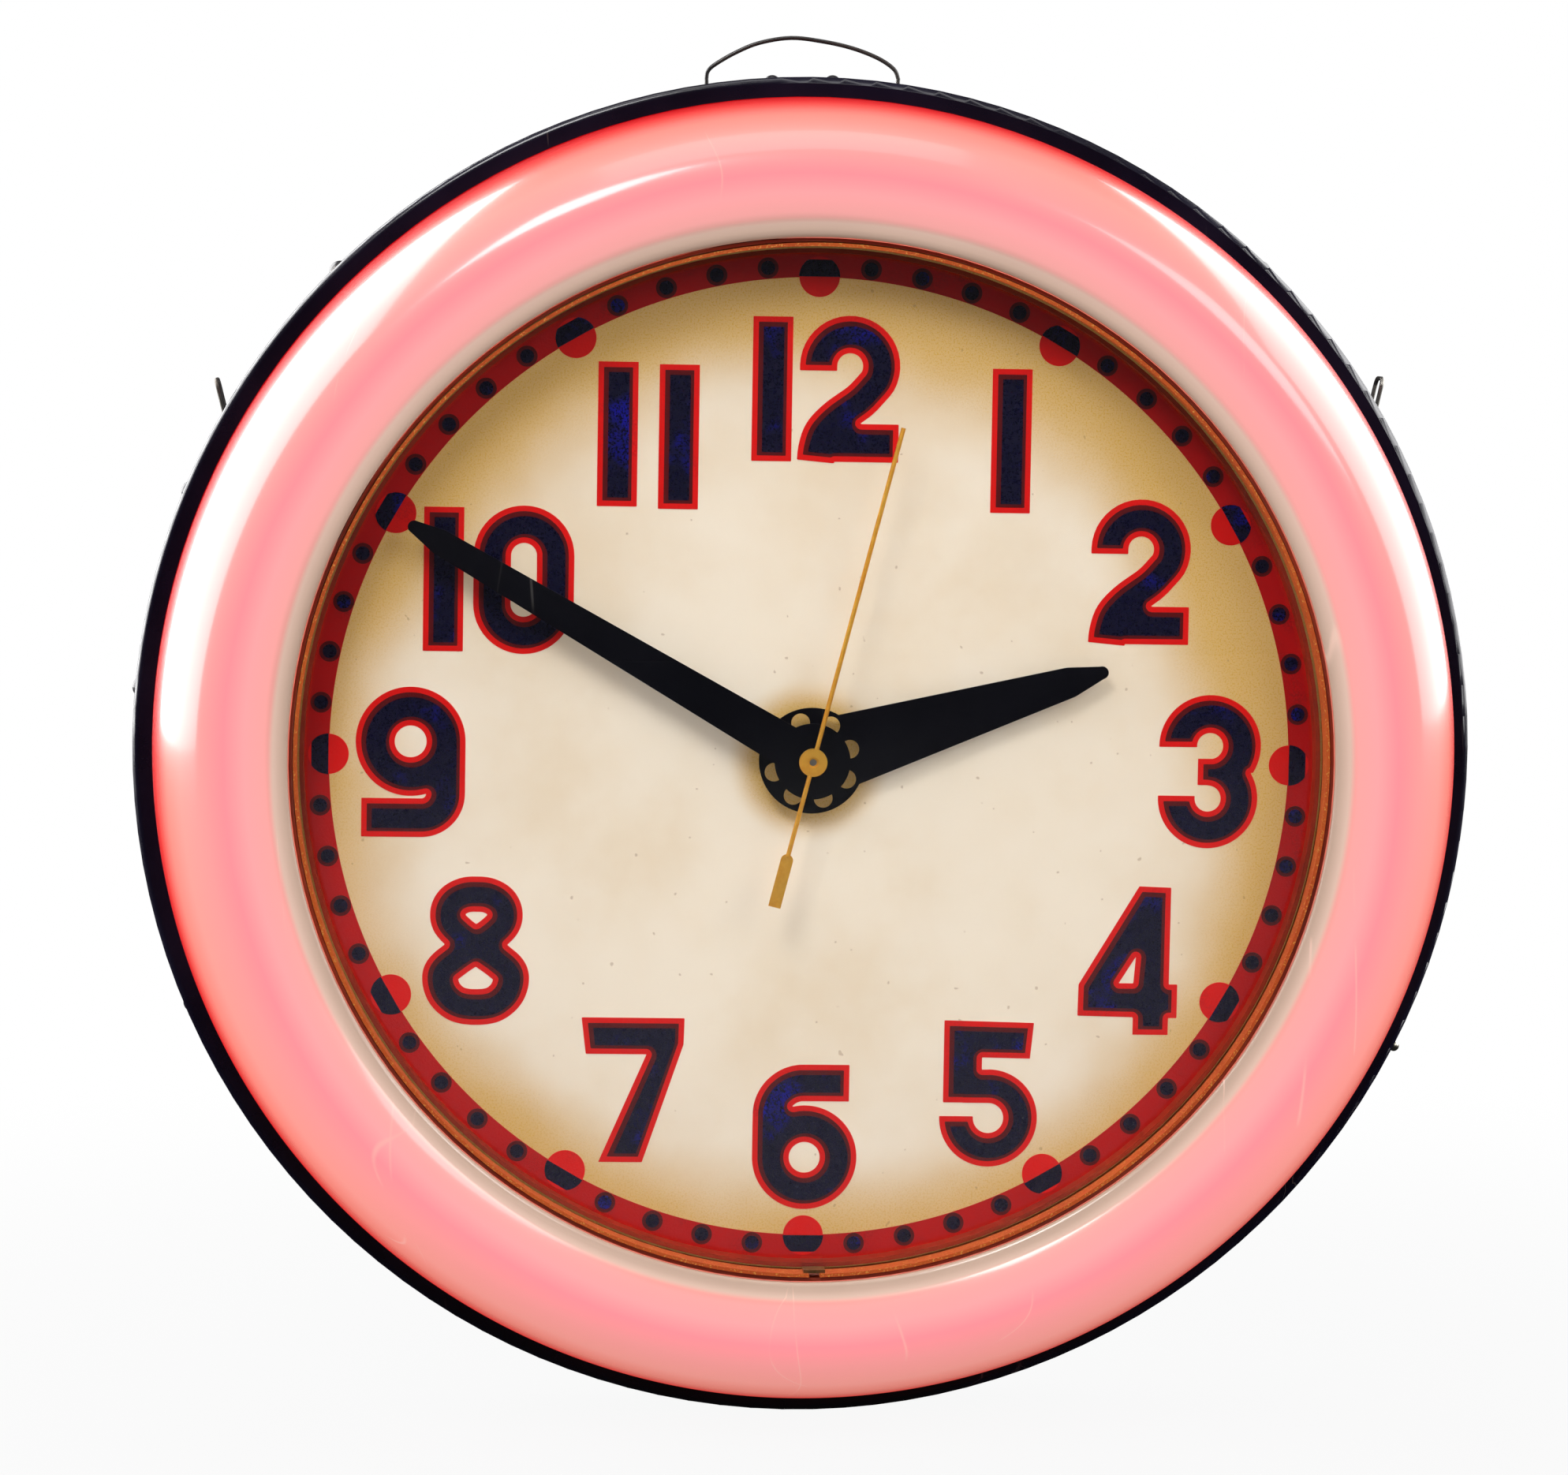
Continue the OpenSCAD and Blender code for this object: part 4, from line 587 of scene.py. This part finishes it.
def new_mesh(name, points, faces):
    mesh = bpy.data.meshes.new(name)
    mesh.from_pydata(points, [], faces)
    return mesh


def mesh_of(curve, name):
    """The mesh that a curve makes, with the curve itself cleared away."""
    drawn = bpy.data.objects.new(name + "_path", curve)
    scene.collection.objects.link(drawn)
    bpy.context.view_layer.update()
    mesh = bpy.data.meshes.new_from_object(drawn.evaluated_get(bpy.context.evaluated_depsgraph_get()))
    bpy.data.objects.remove(drawn)
    mesh.name = name
    return mesh


def printed(name, loops, finish, thick=INK):
    """Ink on the dial's face: closed loops of (x, up) points in mm, filled between them."""
    curve = bpy.data.curves.new(name, "CURVE")
    curve.dimensions = "2D"
    curve.fill_mode = "BOTH"
    curve.extrude = thick / 2 * MM
    for loop in loops:
        spline = curve.splines.new("POLY")
        spline.points.add(len(loop) - 1)
        for point, (x, up) in zip(spline.points, loop):
            point.co = (x * MM, up * MM, 0.0, 1.0)
        spline.use_cyclic_u = True
    mesh = mesh_of(curve, name)
    for vertex in mesh.vertices:
        x, up, out = vertex.co
        vertex.co = (x, -DIAL_FACE * MM - thick / 2 * MM - out, up)
    return finish_piece(name, mesh, finish, sharp=30)


def ring_loop(r, steps=360):
    """Points round the dial's middle, clockwise from the top."""
    turns = [2 * math.pi * i / steps for i in range(steps)]
    return [(r * math.sin(a), r * math.cos(a)) for a in turns]


def round_loop(cx, cy, r, steps):
    """Points round a place of its own, anticlockwise from the right."""
    turns = np.linspace(0, 2 * math.pi, steps + 1)[:-1]
    return [(cx + r * math.cos(a), cy + r * math.sin(a)) for a in turns]


# ------------------------------------------------------------------ light ring

BOWL_END = 138.6  # degrees round the section, where the inner side meets the lip


def ring_section(inset):
    """Outside of the light ring from its foot over the crest to its lip, moved in by the inset."""
    half_w, height = RING_FOOT_R - RING_CREST_R, RING_CREST - LIP_FRONT
    outer_turn = [math.radians(a) for a in np.arange(0, 90.1, 3.0)]
    outer = [(RING_CREST_R + (half_w - inset) * math.cos(a), LIP_FRONT + (height - inset) * math.sin(a))
             for a in outer_turn]
    fall = (RING_CREST - THROAT - 1) / (1 - math.sin(math.radians(BOWL_END)))
    reach = (RING_CREST_R - THROAT_R - RING_LIP) / math.cos(math.radians(BOWL_END))
    inner_turn = [math.radians(a) for a in np.arange(93, BOWL_END + 0.1, 3.26)]
    inner = [(RING_CREST_R - reach * math.cos(a), RING_CREST - inset - fall * (1 - math.sin(a)))
             for a in inner_turn]
    return outer, inner


def make_light_ring():
    outer, inner = ring_section(0.0)
    under_outer, under_inner = ring_section(RING_WALL)
    roll = [(THROAT_R + 3.2, THROAT + 0.75), (THROAT_R + 1.5, THROAT + 0.45),
            (THROAT_R + 0.45, THROAT - 0.1), (THROAT_R, THROAT - 0.9), (THROAT_R, THROAT - RING_WALL)]
    flange = [(RING_FLANGE_R, FLANGE_BACK), (RING_FLANGE_R, FLANGE_FRONT), (RING_FOOT_R, FLANGE_FRONT)]
    section = (flange + outer + inner + roll + [(THROAT_R + RING_LIP, THROAT + 1 - RING_WALL)]
               + under_inner[::-1] + under_outer[::-1] + [(RING_FOOT_R - RING_WALL, FLANGE_BACK)])
    mesh = new_mesh("light_ring_shell", *swept(section, 384))
    shell = finish_piece("light_ring_shell", mesh, "ring_plastic")
    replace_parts(shell, "glow_ring")


# ------------------------------------------------------------------ domed glass

def dome_level(r, thickness):
    """Level of the dome's back, or of its front with the thickness given, at a radius."""
    radius = (GLASS_R ** 2 + GLASS_DOME ** 2) / (2 * GLASS_DOME)
    return GLASS_BACK + GLASS_DOME - radius + math.sqrt((radius + thickness) ** 2 - r * r)


def make_glass():
    """Front and back of the dome with a softened rim, closed at the middle."""
    radii = [GLASS_R * k / 60 for k in range(60, 0, -1)]
    back_r, front_r = GLASS_R - 0.4, GLASS_R - 0.7
    front = [(r, dome_level(r, GLASS_T)) for r in radii if r < front_r]
    back = [(r, dome_level(r, 0.0)) for r in radii if r < back_r]
    rim = [(back_r, dome_level(back_r, 0.0)), (GLASS_R, dome_level(GLASS_R, 0.0) + 0.4),
           (GLASS_R, dome_level(GLASS_R, GLASS_T) - 0.7), (front_r, dome_level(front_r, GLASS_T))]
    section, around = back[::-1] + rim + front, 360
    points, faces = swept(section, around, closed=False)
    points += [on_face(0, 0, dome_level(0, 0.0)), on_face(0, 0, dome_level(0, GLASS_T))]
    n, back_middle, front_middle = len(section), len(points) - 2, len(points) - 1
    for i in range(around):
        here, there = i * n, (i + 1) % around * n
        faces += [(here, there, back_middle), (here + n - 1, there + n - 1, front_middle)]
    mesh = new_mesh("domed_glass", points, faces)
    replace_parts(finish_piece("domed_glass", mesh, "dial_glass"), "crystal")


# ------------------------------------------------------------------ numbers on the dial
# Each digit is drawn on one grid, as the signed distance to its edge. The grid starts off round numbers,
# so that no edge runs along a row of it.
GRID_STEP = 0.3
grid_x, grid_y = np.meshgrid(np.arange(-25.9713, 26, GRID_STEP), np.arange(-33.9571, 34, GRID_STEP))


def disc(cx, cy, r):
    return np.hypot(grid_x - cx, grid_y - cy) - r


def band(cx, cy, r_in, r_out):
    return np.maximum(disc(cx, cy, r_out), -disc(cx, cy, r_in))


def outline(corners):
    """Signed distance to a closed polygon, negative inside."""
    near = np.full(grid_x.shape, 1e9)
    inside = np.zeros(grid_x.shape, bool)
    for (ax, ay), (bx, by) in zip(corners, corners[1:] + corners[:1]):
        dx, dy = bx - ax, by - ay
        along = np.clip(((grid_x - ax) * dx + (grid_y - ay) * dy) / (dx * dx + dy * dy), 0, 1)
        near = np.minimum(near, np.hypot(grid_x - ax - along * dx, grid_y - ay - along * dy))
        crosses = (ay > grid_y) != (by > grid_y)
        if ay != by:
            inside ^= crosses & (grid_x < ax + (grid_y - ay) / dy * dx)
    return np.where(inside, -near, near)


def box_shape(x0, y0, x1, y1):
    return outline([(x0, y0), (x1, y0), (x1, y1), (x0, y1)])


def joined(*shapes):
    return np.minimum.reduce(shapes)


def cut(shape, *others):
    return np.maximum.reduce([shape, *others])


def smooth_path(knots, per=10):
    """Points on an even curve through the knots."""
    k = [np.array(p, float) for p in knots]
    k = [2 * k[0] - k[1]] + k + [2 * k[-1] - k[-2]]
    path = []
    for p0, p1, p2, p3 in zip(k, k[1:], k[2:], k[3:]):
        for t in np.arange(per) / per:
            path.append(0.5 * (2 * p1 + (p2 - p0) * t + (2 * p0 - 5 * p1 + 4 * p2 - p3) * t ** 2
                               + (3 * p1 - p0 - 3 * p2 + p3) * t ** 3))
    return [tuple(p) for p in path + [k[-2]]]


def stroke(path, half, closed=False):
    """A line of even width along a path, cut square at its ends."""
    p = np.array(path, float)
    if closed:
        ahead, behind = np.roll(p, -1, 0), np.roll(p, 1, 0)
    else:
        ahead, behind = np.vstack([p[1:], p[-1:]]), np.vstack([p[:1], p[:-1]])
    along = ahead - behind
    along /= np.linalg.norm(along, axis=1)[:, None]
    side = np.stack([-along[:, 1], along[:, 0]], 1) * half
    left, right = [tuple(q) for q in p + side], [tuple(q) for q in p - side]
    if closed:
        a, b = outline(left), outline(right)
        return np.maximum(np.minimum(a, b), -np.maximum(a, b))
    return outline(left + right[::-1])


def arc(cx, cy, r, start, end, steps=24):
    """Points on an arc, in degrees anticlockwise from the right."""
    return [(cx + r * math.cos(math.radians(start + (end - start) * i / steps)),
             cy + r * math.sin(math.radians(start + (end - start) * i / steps))) for i in range(steps + 1)]


def one():
    return box_shape(-7.4, -26.7, 7.4, 26.7)


def two():
    spine = ([(-11.5, 6.6)] + arc(0.2, 8.4, 11.7, 180, -28)
             + smooth_path([(10.4, 2.6), (4.2, -4.2), (-4.4, -10.6), (-9.6, -16.2), (-11.6, -22.0),
                            (-12.1, -27.0)])[1:])
    return joined(stroke(spine, 6.9), box_shape(-12.4, -27.0, 18.6, -12.9))


def three():
    top = cut(band(0.0, 9.6, 4.9, 19.1), -0.3 - grid_y)
    top = cut(top, -np.maximum(grid_x, grid_y - 9.1))
    low = cut(band(-0.5, -10.1, 4.9, 18.7), grid_y + 0.2)
    low = cut(low, -np.maximum(grid_x + 0.5, -9.2 - grid_y))
    return joined(top, low, box_shape(-4.4, -5.1, 3.0, 4.8))


def four():
    body = outline([(3.6, 28.0), (15.6, 27.6), (15.5, -8.9), (18.7, -8.9), (18.7, -21.6), (15.5, -21.6),
                    (15.5, -28.0), (2.2, -28.0), (2.2, -21.4), (-18.7, -21.0), (-18.5, -9.2)])
    return cut(body, -outline([(2.9, 1.5), (2.1, -8.6), (-3.4, -8.6)]))


def five():
    head = outline([(-16.9, 27.9), (16.8, 27.2), (15.5, 13.7), (-2.5, 14.0), (-2.5, -3.1), (-16.9, -3.1)])
    bowl = band(0.2, -8.9, 5.7, 18.4)
    bowl = cut(bowl, -np.maximum(grid_x - 0.2, -8.3 - grid_y))
    return joined(head, bowl, box_shape(-9.6, -3.2, 0.3, 9.4))


def hooked(ring_r, half, ring_y, bar_end, corner):
    """A ring with a stem at its left that bends over into a bar at the top."""
    x, top = -ring_r, 27.4 - half
    hook = ([(x, ring_y)] + [(x, top - corner)] + arc(x + corner, top - corner, corner, 180, 90)[1:]
            + [(bar_end, top)])
    return joined(band(0.0, ring_y, ring_r - half, ring_r + half), stroke(hook, half))


def six():
    return hooked(12.7, 6.9, -7.6, 16.4, 12.0)


def seven():
    return outline([(-19.2, 27.2), (19.2, 27.2), (19.0, 17.4), (4.0, -27.2), (-12.3, -27.2), (5.2, 13.5),
                    (-17.5, 13.5)])


def eight():
    right = [(0, 2.2), (6.2, 6.6), (9.9, 10.6), (10.5, 14.8), (8.6, 18.6), (4.6, 20.9), (0, 21.4)]
    low = [(0, 2.2), (7.2, -2.6), (12.2, -7.0), (13.1, -11.2), (11.2, -16.2), (6.6, -19.9), (0, -20.9)]
    upper = smooth_path(right + [(-x, y) for x, y in right[-2::-1]])[:-1]
    lower = smooth_path(low + [(-x, y) for x, y in low[-2::-1]])[:-1]
    return joined(np.abs(outline(upper)) - 6.6, np.abs(outline(lower)) - 6.7)


def nine():
    return hooked(13.1, 7.2, -8.2, 18.0, 9.0)[::-1, ::-1]


def nought():
    path = arc(0, 8.9, 11.7, 0, 180) + arc(0, -8.9, 11.7, 180, 360)
    return stroke(path, 6.9, closed=True)


SHORTEST_LOOP = 8
NUDGE = 5e-4  # keeps a crossing off the grid's own corners


def contours(field, level):
    """Closed loops where the field crosses the level, found cell by cell."""
    f = field - level
    f = np.where(np.abs(f) < NUDGE, NUDGE, f)
    links = {}
    below = f < 0

    def crossing(r0, c0, r1, c1):
        a, b = f[r0, c0], f[r1, c1]
        t = a / (a - b)
        return (round(grid_x[r0, c0] + (grid_x[r1, c1] - grid_x[r0, c0]) * t, 5),
                round(grid_y[r0, c0] + (grid_y[r1, c1] - grid_y[r0, c0]) * t, 5))

    mixed = below[:-1, :-1].astype(int) + below[:-1, 1:] + below[1:, :-1] + below[1:, 1:]
    for r, c in zip(*np.nonzero((mixed > 0) & (mixed < 4))):
        ring = [(r, c), (r, c + 1), (r + 1, c + 1), (r + 1, c)]
        into, out = [], []
        for k in range(4):
            (r0, c0), (r1, c1) = ring[k], ring[(k + 1) % 4]
            if below[r0, c0] != below[r1, c1]:
                (out if below[r0, c0] else into).append(crossing(r0, c0, r1, c1))
        for a, b in zip(out, into if len(out) == 1 else into[::-1]):
            links[a] = b
    loops = []
    while links:
        start, at = next(iter(links.items()))
        loop = [start]
        del links[start]
        while at in links:
            loop.append(at)
            at = links.pop(at)
        if len(loop) > SHORTEST_LOOP:
            loops.append(thinned(loop))
    return loops


def thinned(loop, off=0.012, longest=6.0, shortest=0.02):
    """The loop without the points that lie on the line between their neighbours."""
    kept = [loop[0]]
    for i in range(1, len(loop)):
        a, b, c = np.array(kept[-1]), np.array(loop[i]), np.array(loop[(i + 1) % len(loop)])
        along = c - a
        length = np.hypot(*along)
        gap = abs(along[0] * (b - a)[1] - along[1] * (b - a)[0]) / max(length, 1e-9)
        step = np.hypot(*(b - a))
        if step > shortest and (gap > off or step > longest):
            kept.append(loop[i])
    return kept


def distance_inside(loops, field):
    """Signed distance to the loops over the whole grid."""
    near = np.full(grid_x.shape, 1e9)
    for loop in loops:
        for (ax, ay), (bx, by) in zip(loop, loop[1:] + loop[:1]):
            dx, dy = bx - ax, by - ay
            span = dx * dx + dy * dy
            if span < 1e-12:
                continue
            along = np.clip(((grid_x - ax) * dx + (grid_y - ay) * dy) / span, 0, 1)
            near = np.minimum(near, np.hypot(grid_x - ax - along * dx, grid_y - ay - along * dy))
    return np.where(field < 0, -near, near)


def placed(loops, x, up):
    """A digit's loops at its place on the dial, with the dial's slight turn."""
    c, s = math.cos(DIAL_TURN), math.sin(DIAL_TURN)
    return [[(x + px * c + py * s, up - px * s + py * c) for px, py in loop] for loop in loops]


RED_WIDTH = 2.05
BLUE_INSET = 3.55


def print_number(name, shape, x, up):
    """One digit: a red outline, a deep red band inside it that paints the shadow round the blue core, and
    the blue core, set a grid step down and to the right so that the painted shadow is wider at its upper
    left.
    """
    field = shape()
    edge = contours(field, 0.0)
    depth = distance_inside(edge, field)
    inner = contours(depth, -RED_WIDTH)
    # the core is set a grid step down and to the right, so the painted shadow band is wider at the upper
    # left
    core_set_down_right = np.roll(depth, (-1, 1), (0, 1))
    core = contours(core_set_down_right, -BLUE_INSET)
    edge, inner, core = (placed(loops, x, up) for loops in (edge, inner, core))
    printed(name + "_outline", edge + inner, "ink_red")
    # the deep red band between the outline and the core is a painted shadow of the core
    printed(name + "_painted_shadow", inner + core, "painted_shadow_red", thick=INK + 0.02)
    printed(name + "_core", core, "ink_blue", thick=INK + 0.04)


# each digit's name, shape and place on the dial
DIGITS = [("twelve_1", one, -14.4, 137.7), ("twelve_2", two, 14.1, 137.6), ("one", one, 74.4, 118.2),
          ("two", two, 122.7, 69.5), ("three", three, 149.2, -5.3), ("four", four, 119.0, -76.2),
          ("five", five, 66.4, -126.4), ("six", six, -2.5, -141.9), ("seven", seven, -67.0, -123.5),
          ("eight", eight, -124.9, -70.9), ("nine", nine, -148.7, -0.5), ("ten_1", one, -136.1, 67.7),
          ("ten_0", nought, -106.5, 67.3), ("eleven_1", one, -71.6, 121.1), ("eleven_2", one, -49.0, 120.0)]


RED_RING_R = 188.1
RED_RING_W = 9.3
SPOT_AT = 179.0
SPOT_R = 7.5
BAR_R = 7.6
BAR_REACH = 6.3
DOT_AT = 182.9
DOT_R = 2.6
DOT_SHADOW_R = 3.9


def hour_marks(hour):
    """A red spot at the hour, with a blue half-moon cut straight where it meets the ring's outer edge."""
    a = math.radians(hour * 30) + DIAL_TURN
    outward, across = np.array([math.sin(a), math.cos(a)]), np.array([math.cos(a), -math.sin(a)])
    middle = SPOT_AT * outward
    printed(f"hour_spot_{hour}", [round_loop(*middle, SPOT_R, 48)], "ink_red", thick=INK + 0.05)
    turns = [math.radians(t) for t in np.linspace(-90, 90, 31)]
    half = [tuple(middle + outward * min(BAR_REACH, BAR_R * math.cos(t)) + across * BAR_R * math.sin(t))
            for t in turns]
    printed(f"hour_bar_{hour}", [half], "ink_blue", thick=INK + 0.09)


def minute_marks(minute):
    """A blue dot with a deep red halo round it, a painted shadow of the dot on the red ring."""
    a = math.radians(minute * 6) + DIAL_TURN
    cx, cy = DOT_AT * math.sin(a), DOT_AT * math.cos(a)
    dot = round_loop(cx, cy, DOT_R, 24)
    dot_shadow = round_loop(cx, cy, DOT_SHADOW_R, 28)
    # the deep red halo is a painted shadow of the dot
    printed(f"minute_halo_{minute}", [dot_shadow, dot], "painted_shadow_red", thick=INK + 0.05)
    printed(f"minute_dot_{minute}", [dot], "ink_blue", thick=INK + 0.07)


def make_dial_print():
    for name, shape, x, up in DIGITS:
        print_number("number_" + name, shape, x, up)
    printed("minute_ring", [ring_loop(RED_RING_R), ring_loop(RED_RING_R - RED_RING_W)], "ink_ring_red")
    for hour in range(12):
        hour_marks(hour)
    for minute in range(60):
        if minute % 5:
            minute_marks(minute)


# ------------------------------------------------------------------ wire bail

WIRE_R = 0.8
WIRE_ROOM = 0.86  # from the plain bail's box to the wire's middle


def make_bail():
    """The bail as one bent round wire through the places that its plain solid has."""
    low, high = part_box("top_bail")
    level = -(low.y + high.y) / 2 / MM
    x, top, foot = high.x / MM - WIRE_ROOM, high.z / MM - WIRE_ROOM, low.z / MM + WIRE_ROOM
    ends = [(x - 8, foot), (x - 2.2, foot), (x - 0.6, foot + 0.7), (x, foot + 2.4), (x, foot + 6)]
    bow = [(x, top - 15), (x - 1.6, top - 11.6), (x - 7.5, top - 7.6), (x - 17, top - 3.9),
           (x - 28, top - 1.4), (-4.2, top), (-16.3, top - 1.9), (-25.4, top - 5.6), (-32.9, top - 9.9),
           (-35.7, top - 12.4), (-x, top - 15)]
    curve = bpy.data.curves.new("hanging_bail", "CURVE")
    curve.dimensions = "3D"
    curve.bevel_depth = WIRE_R * MM
    curve.bevel_resolution = 5
    curve.use_fill_caps = True
    spline = curve.splines.new("POLY")
    bent = smooth_path(ends + bow + [(-px, up) for px, up in ends[::-1]], per=6)
    spline.points.add(len(bent) - 1)
    for point, (px, up) in zip(spline.points, bent):
        point.co = (*on_face(px, up, level), 1.0)
    wire = finish_piece("hanging_bail", mesh_of(curve, "hanging_bail"), "bail_wire", "bail")
    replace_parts(wire, "top_bail")


def soften(node, width):
    """A small rounded edge, of a width in mm, on a piece carried over from the solids."""
    edge = cad[node].modifiers.new("soft_edge", "BEVEL")
    edge.width = width * MM
    edge.segments = 2
    edge.limit_method = "ANGLE"
    edge.angle_limit = math.radians(40)
    edge.harden_normals = True


make_light_ring()
make_glass()
make_dial_print()
make_bail()
soften("minute_hand", 0.22)
soften("hour_hand", 0.22)
soften("second_hand", 0.14)
soften("set_knob", 0.4)


# ------------------------------------------------------------------ camera, floor and light

VIEW_LEFT = math.radians(3.4)
VIEW_ABOVE = math.radians(5.0)
VIEW_FROM = 2.0


def make_camera():
    """In front of the clock, slightly to the left and above."""
    eye = bpy.data.objects.new("camera", bpy.data.cameras.new("camera"))
    scene.collection.objects.link(eye)
    scene.camera = eye
    rim = on_face(0, 0, LIP_FRONT)
    level = math.cos(VIEW_ABOVE)
    back = Vector((-math.sin(VIEW_LEFT) * level, -math.cos(VIEW_LEFT) * level, math.sin(VIEW_ABOVE)))
    eye.location = rim + back * VIEW_FROM
    eye.rotation_euler = (-back).to_track_quat("-Z", "Y").to_euler()
    eye.data.lens = 121.05
    eye.data.sensor_width = 36.0
    eye.data.shift_x = -0.0136
    eye.data.shift_y = 0.0086
    eye.data.clip_end = 100.0


def soft_box(name, where, aim, width, height, power):
    """A white rectangular lamp aimed at a point, out of the camera's sight."""
    lamp = bpy.data.lights.new(name, "AREA")
    lamp.shape = "RECTANGLE"
    lamp.size, lamp.size_y = width, height
    lamp.energy = power
    box = bpy.data.objects.new(name, lamp)
    scene.collection.objects.link(box)
    box.location = where
    box.rotation_euler = (Vector(aim) - Vector(where)).to_track_quat("-Z", "Y").to_euler()
    box.visible_camera = False


def make_floor():
    """A wide pale floor just under the clock, which fades to plain white away from it."""
    low, side = cad_box[0].z - 0.5 * MM, 40.0
    corners = [(-side, -side, low), (side, -side, low), (side, side, low), (-side, side, low)]
    mesh = new_mesh("floor", corners, [(0, 1, 2, 3)])
    floor = bpy.data.objects.new("floor", mesh)
    scene.collection.objects.link(floor)
    material = bpy.data.materials.new("pale_floor")
    material.use_nodes = True
    tree = material.node_tree
    shader = next(n for n in tree.nodes if n.type == "BSDF_PRINCIPLED")
    shader.inputs["Base Color"].default_value = (0.16, 0.16, 0.16, 1.0)
    shader.inputs["Roughness"].default_value = 0.9
    shine = add(tree, "ShaderNodeEmission", {"Color": (1.0, 1.0, 1.0, 1.0), "Strength": 1.0})
    path = add(tree, "ShaderNodeLightPath")
    spot = add(tree, "ShaderNodeVectorMath", {0: place(tree)}, operation="LENGTH").outputs["Value"]
    fade = scaled(tree, rise(tree, spot, 0.3, 0.9), 0.93, 1.0)
    mix_out(tree, calc(tree, "MULTIPLY", path.outputs["Is Camera Ray"], fade), shader, shine)
    mesh.materials.append(material)
    floor.visible_glossy = False


def make_surroundings():
    """White to the eye; for everything else a dim, even room."""
    world = bpy.data.worlds.new("studio")
    scene.world = world
    world.use_nodes = True
    tree = world.node_tree
    tree.nodes.clear()
    where = add(tree, "ShaderNodeTexCoord").outputs["Generated"]
    z = add(tree, "ShaderNodeSeparateXYZ", {"Vector": where}).outputs["Z"]
    room = blend(tree, rise(tree, z, -0.1, 0.9), (0.02, 0.02, 0.022, 1.0), (0.10, 0.10, 0.105, 1.0))
    seen = add(tree, "ShaderNodeBackground", {"Color": (1.0, 1.0, 1.0, 1.0), "Strength": 1.0})
    felt = add(tree, "ShaderNodeBackground", {"Color": room, "Strength": 1.0})
    path = add(tree, "ShaderNodeLightPath")
    both = add(tree, "ShaderNodeMixShader",
               {0: path.outputs["Is Camera Ray"], 1: felt.outputs[0], 2: seen.outputs[0]})
    out = add(tree, "ShaderNodeOutputWorld")
    tree.links.new(both.outputs[0], out.inputs["Surface"])


make_camera()
make_floor()
make_surroundings()
clock_middle = (0.0, -0.1, 0.0)
soft_box("key_box", (-1.0, -2.0, 2.4), clock_middle, 1.0, 1.0, 44.0)
soft_box("fill_box", (1.9, -1.9, 1.5), clock_middle, 1.2, 1.2, 25.0)
soft_box("left_rim_box", (-1.28, 0.41, 0.60), clock_middle, 2.1, 1.5, 62.0)
soft_box("right_rim_box", (1.31, 0.41, 0.53), clock_middle, 2.1, 1.2, 34.0)
soft_box("floor_wash", (0.0, -0.2, 3.0), (0.0, -0.2, -0.25), 2.0, 2.0, 20.0)
scene.view_settings.view_transform = "Standard"
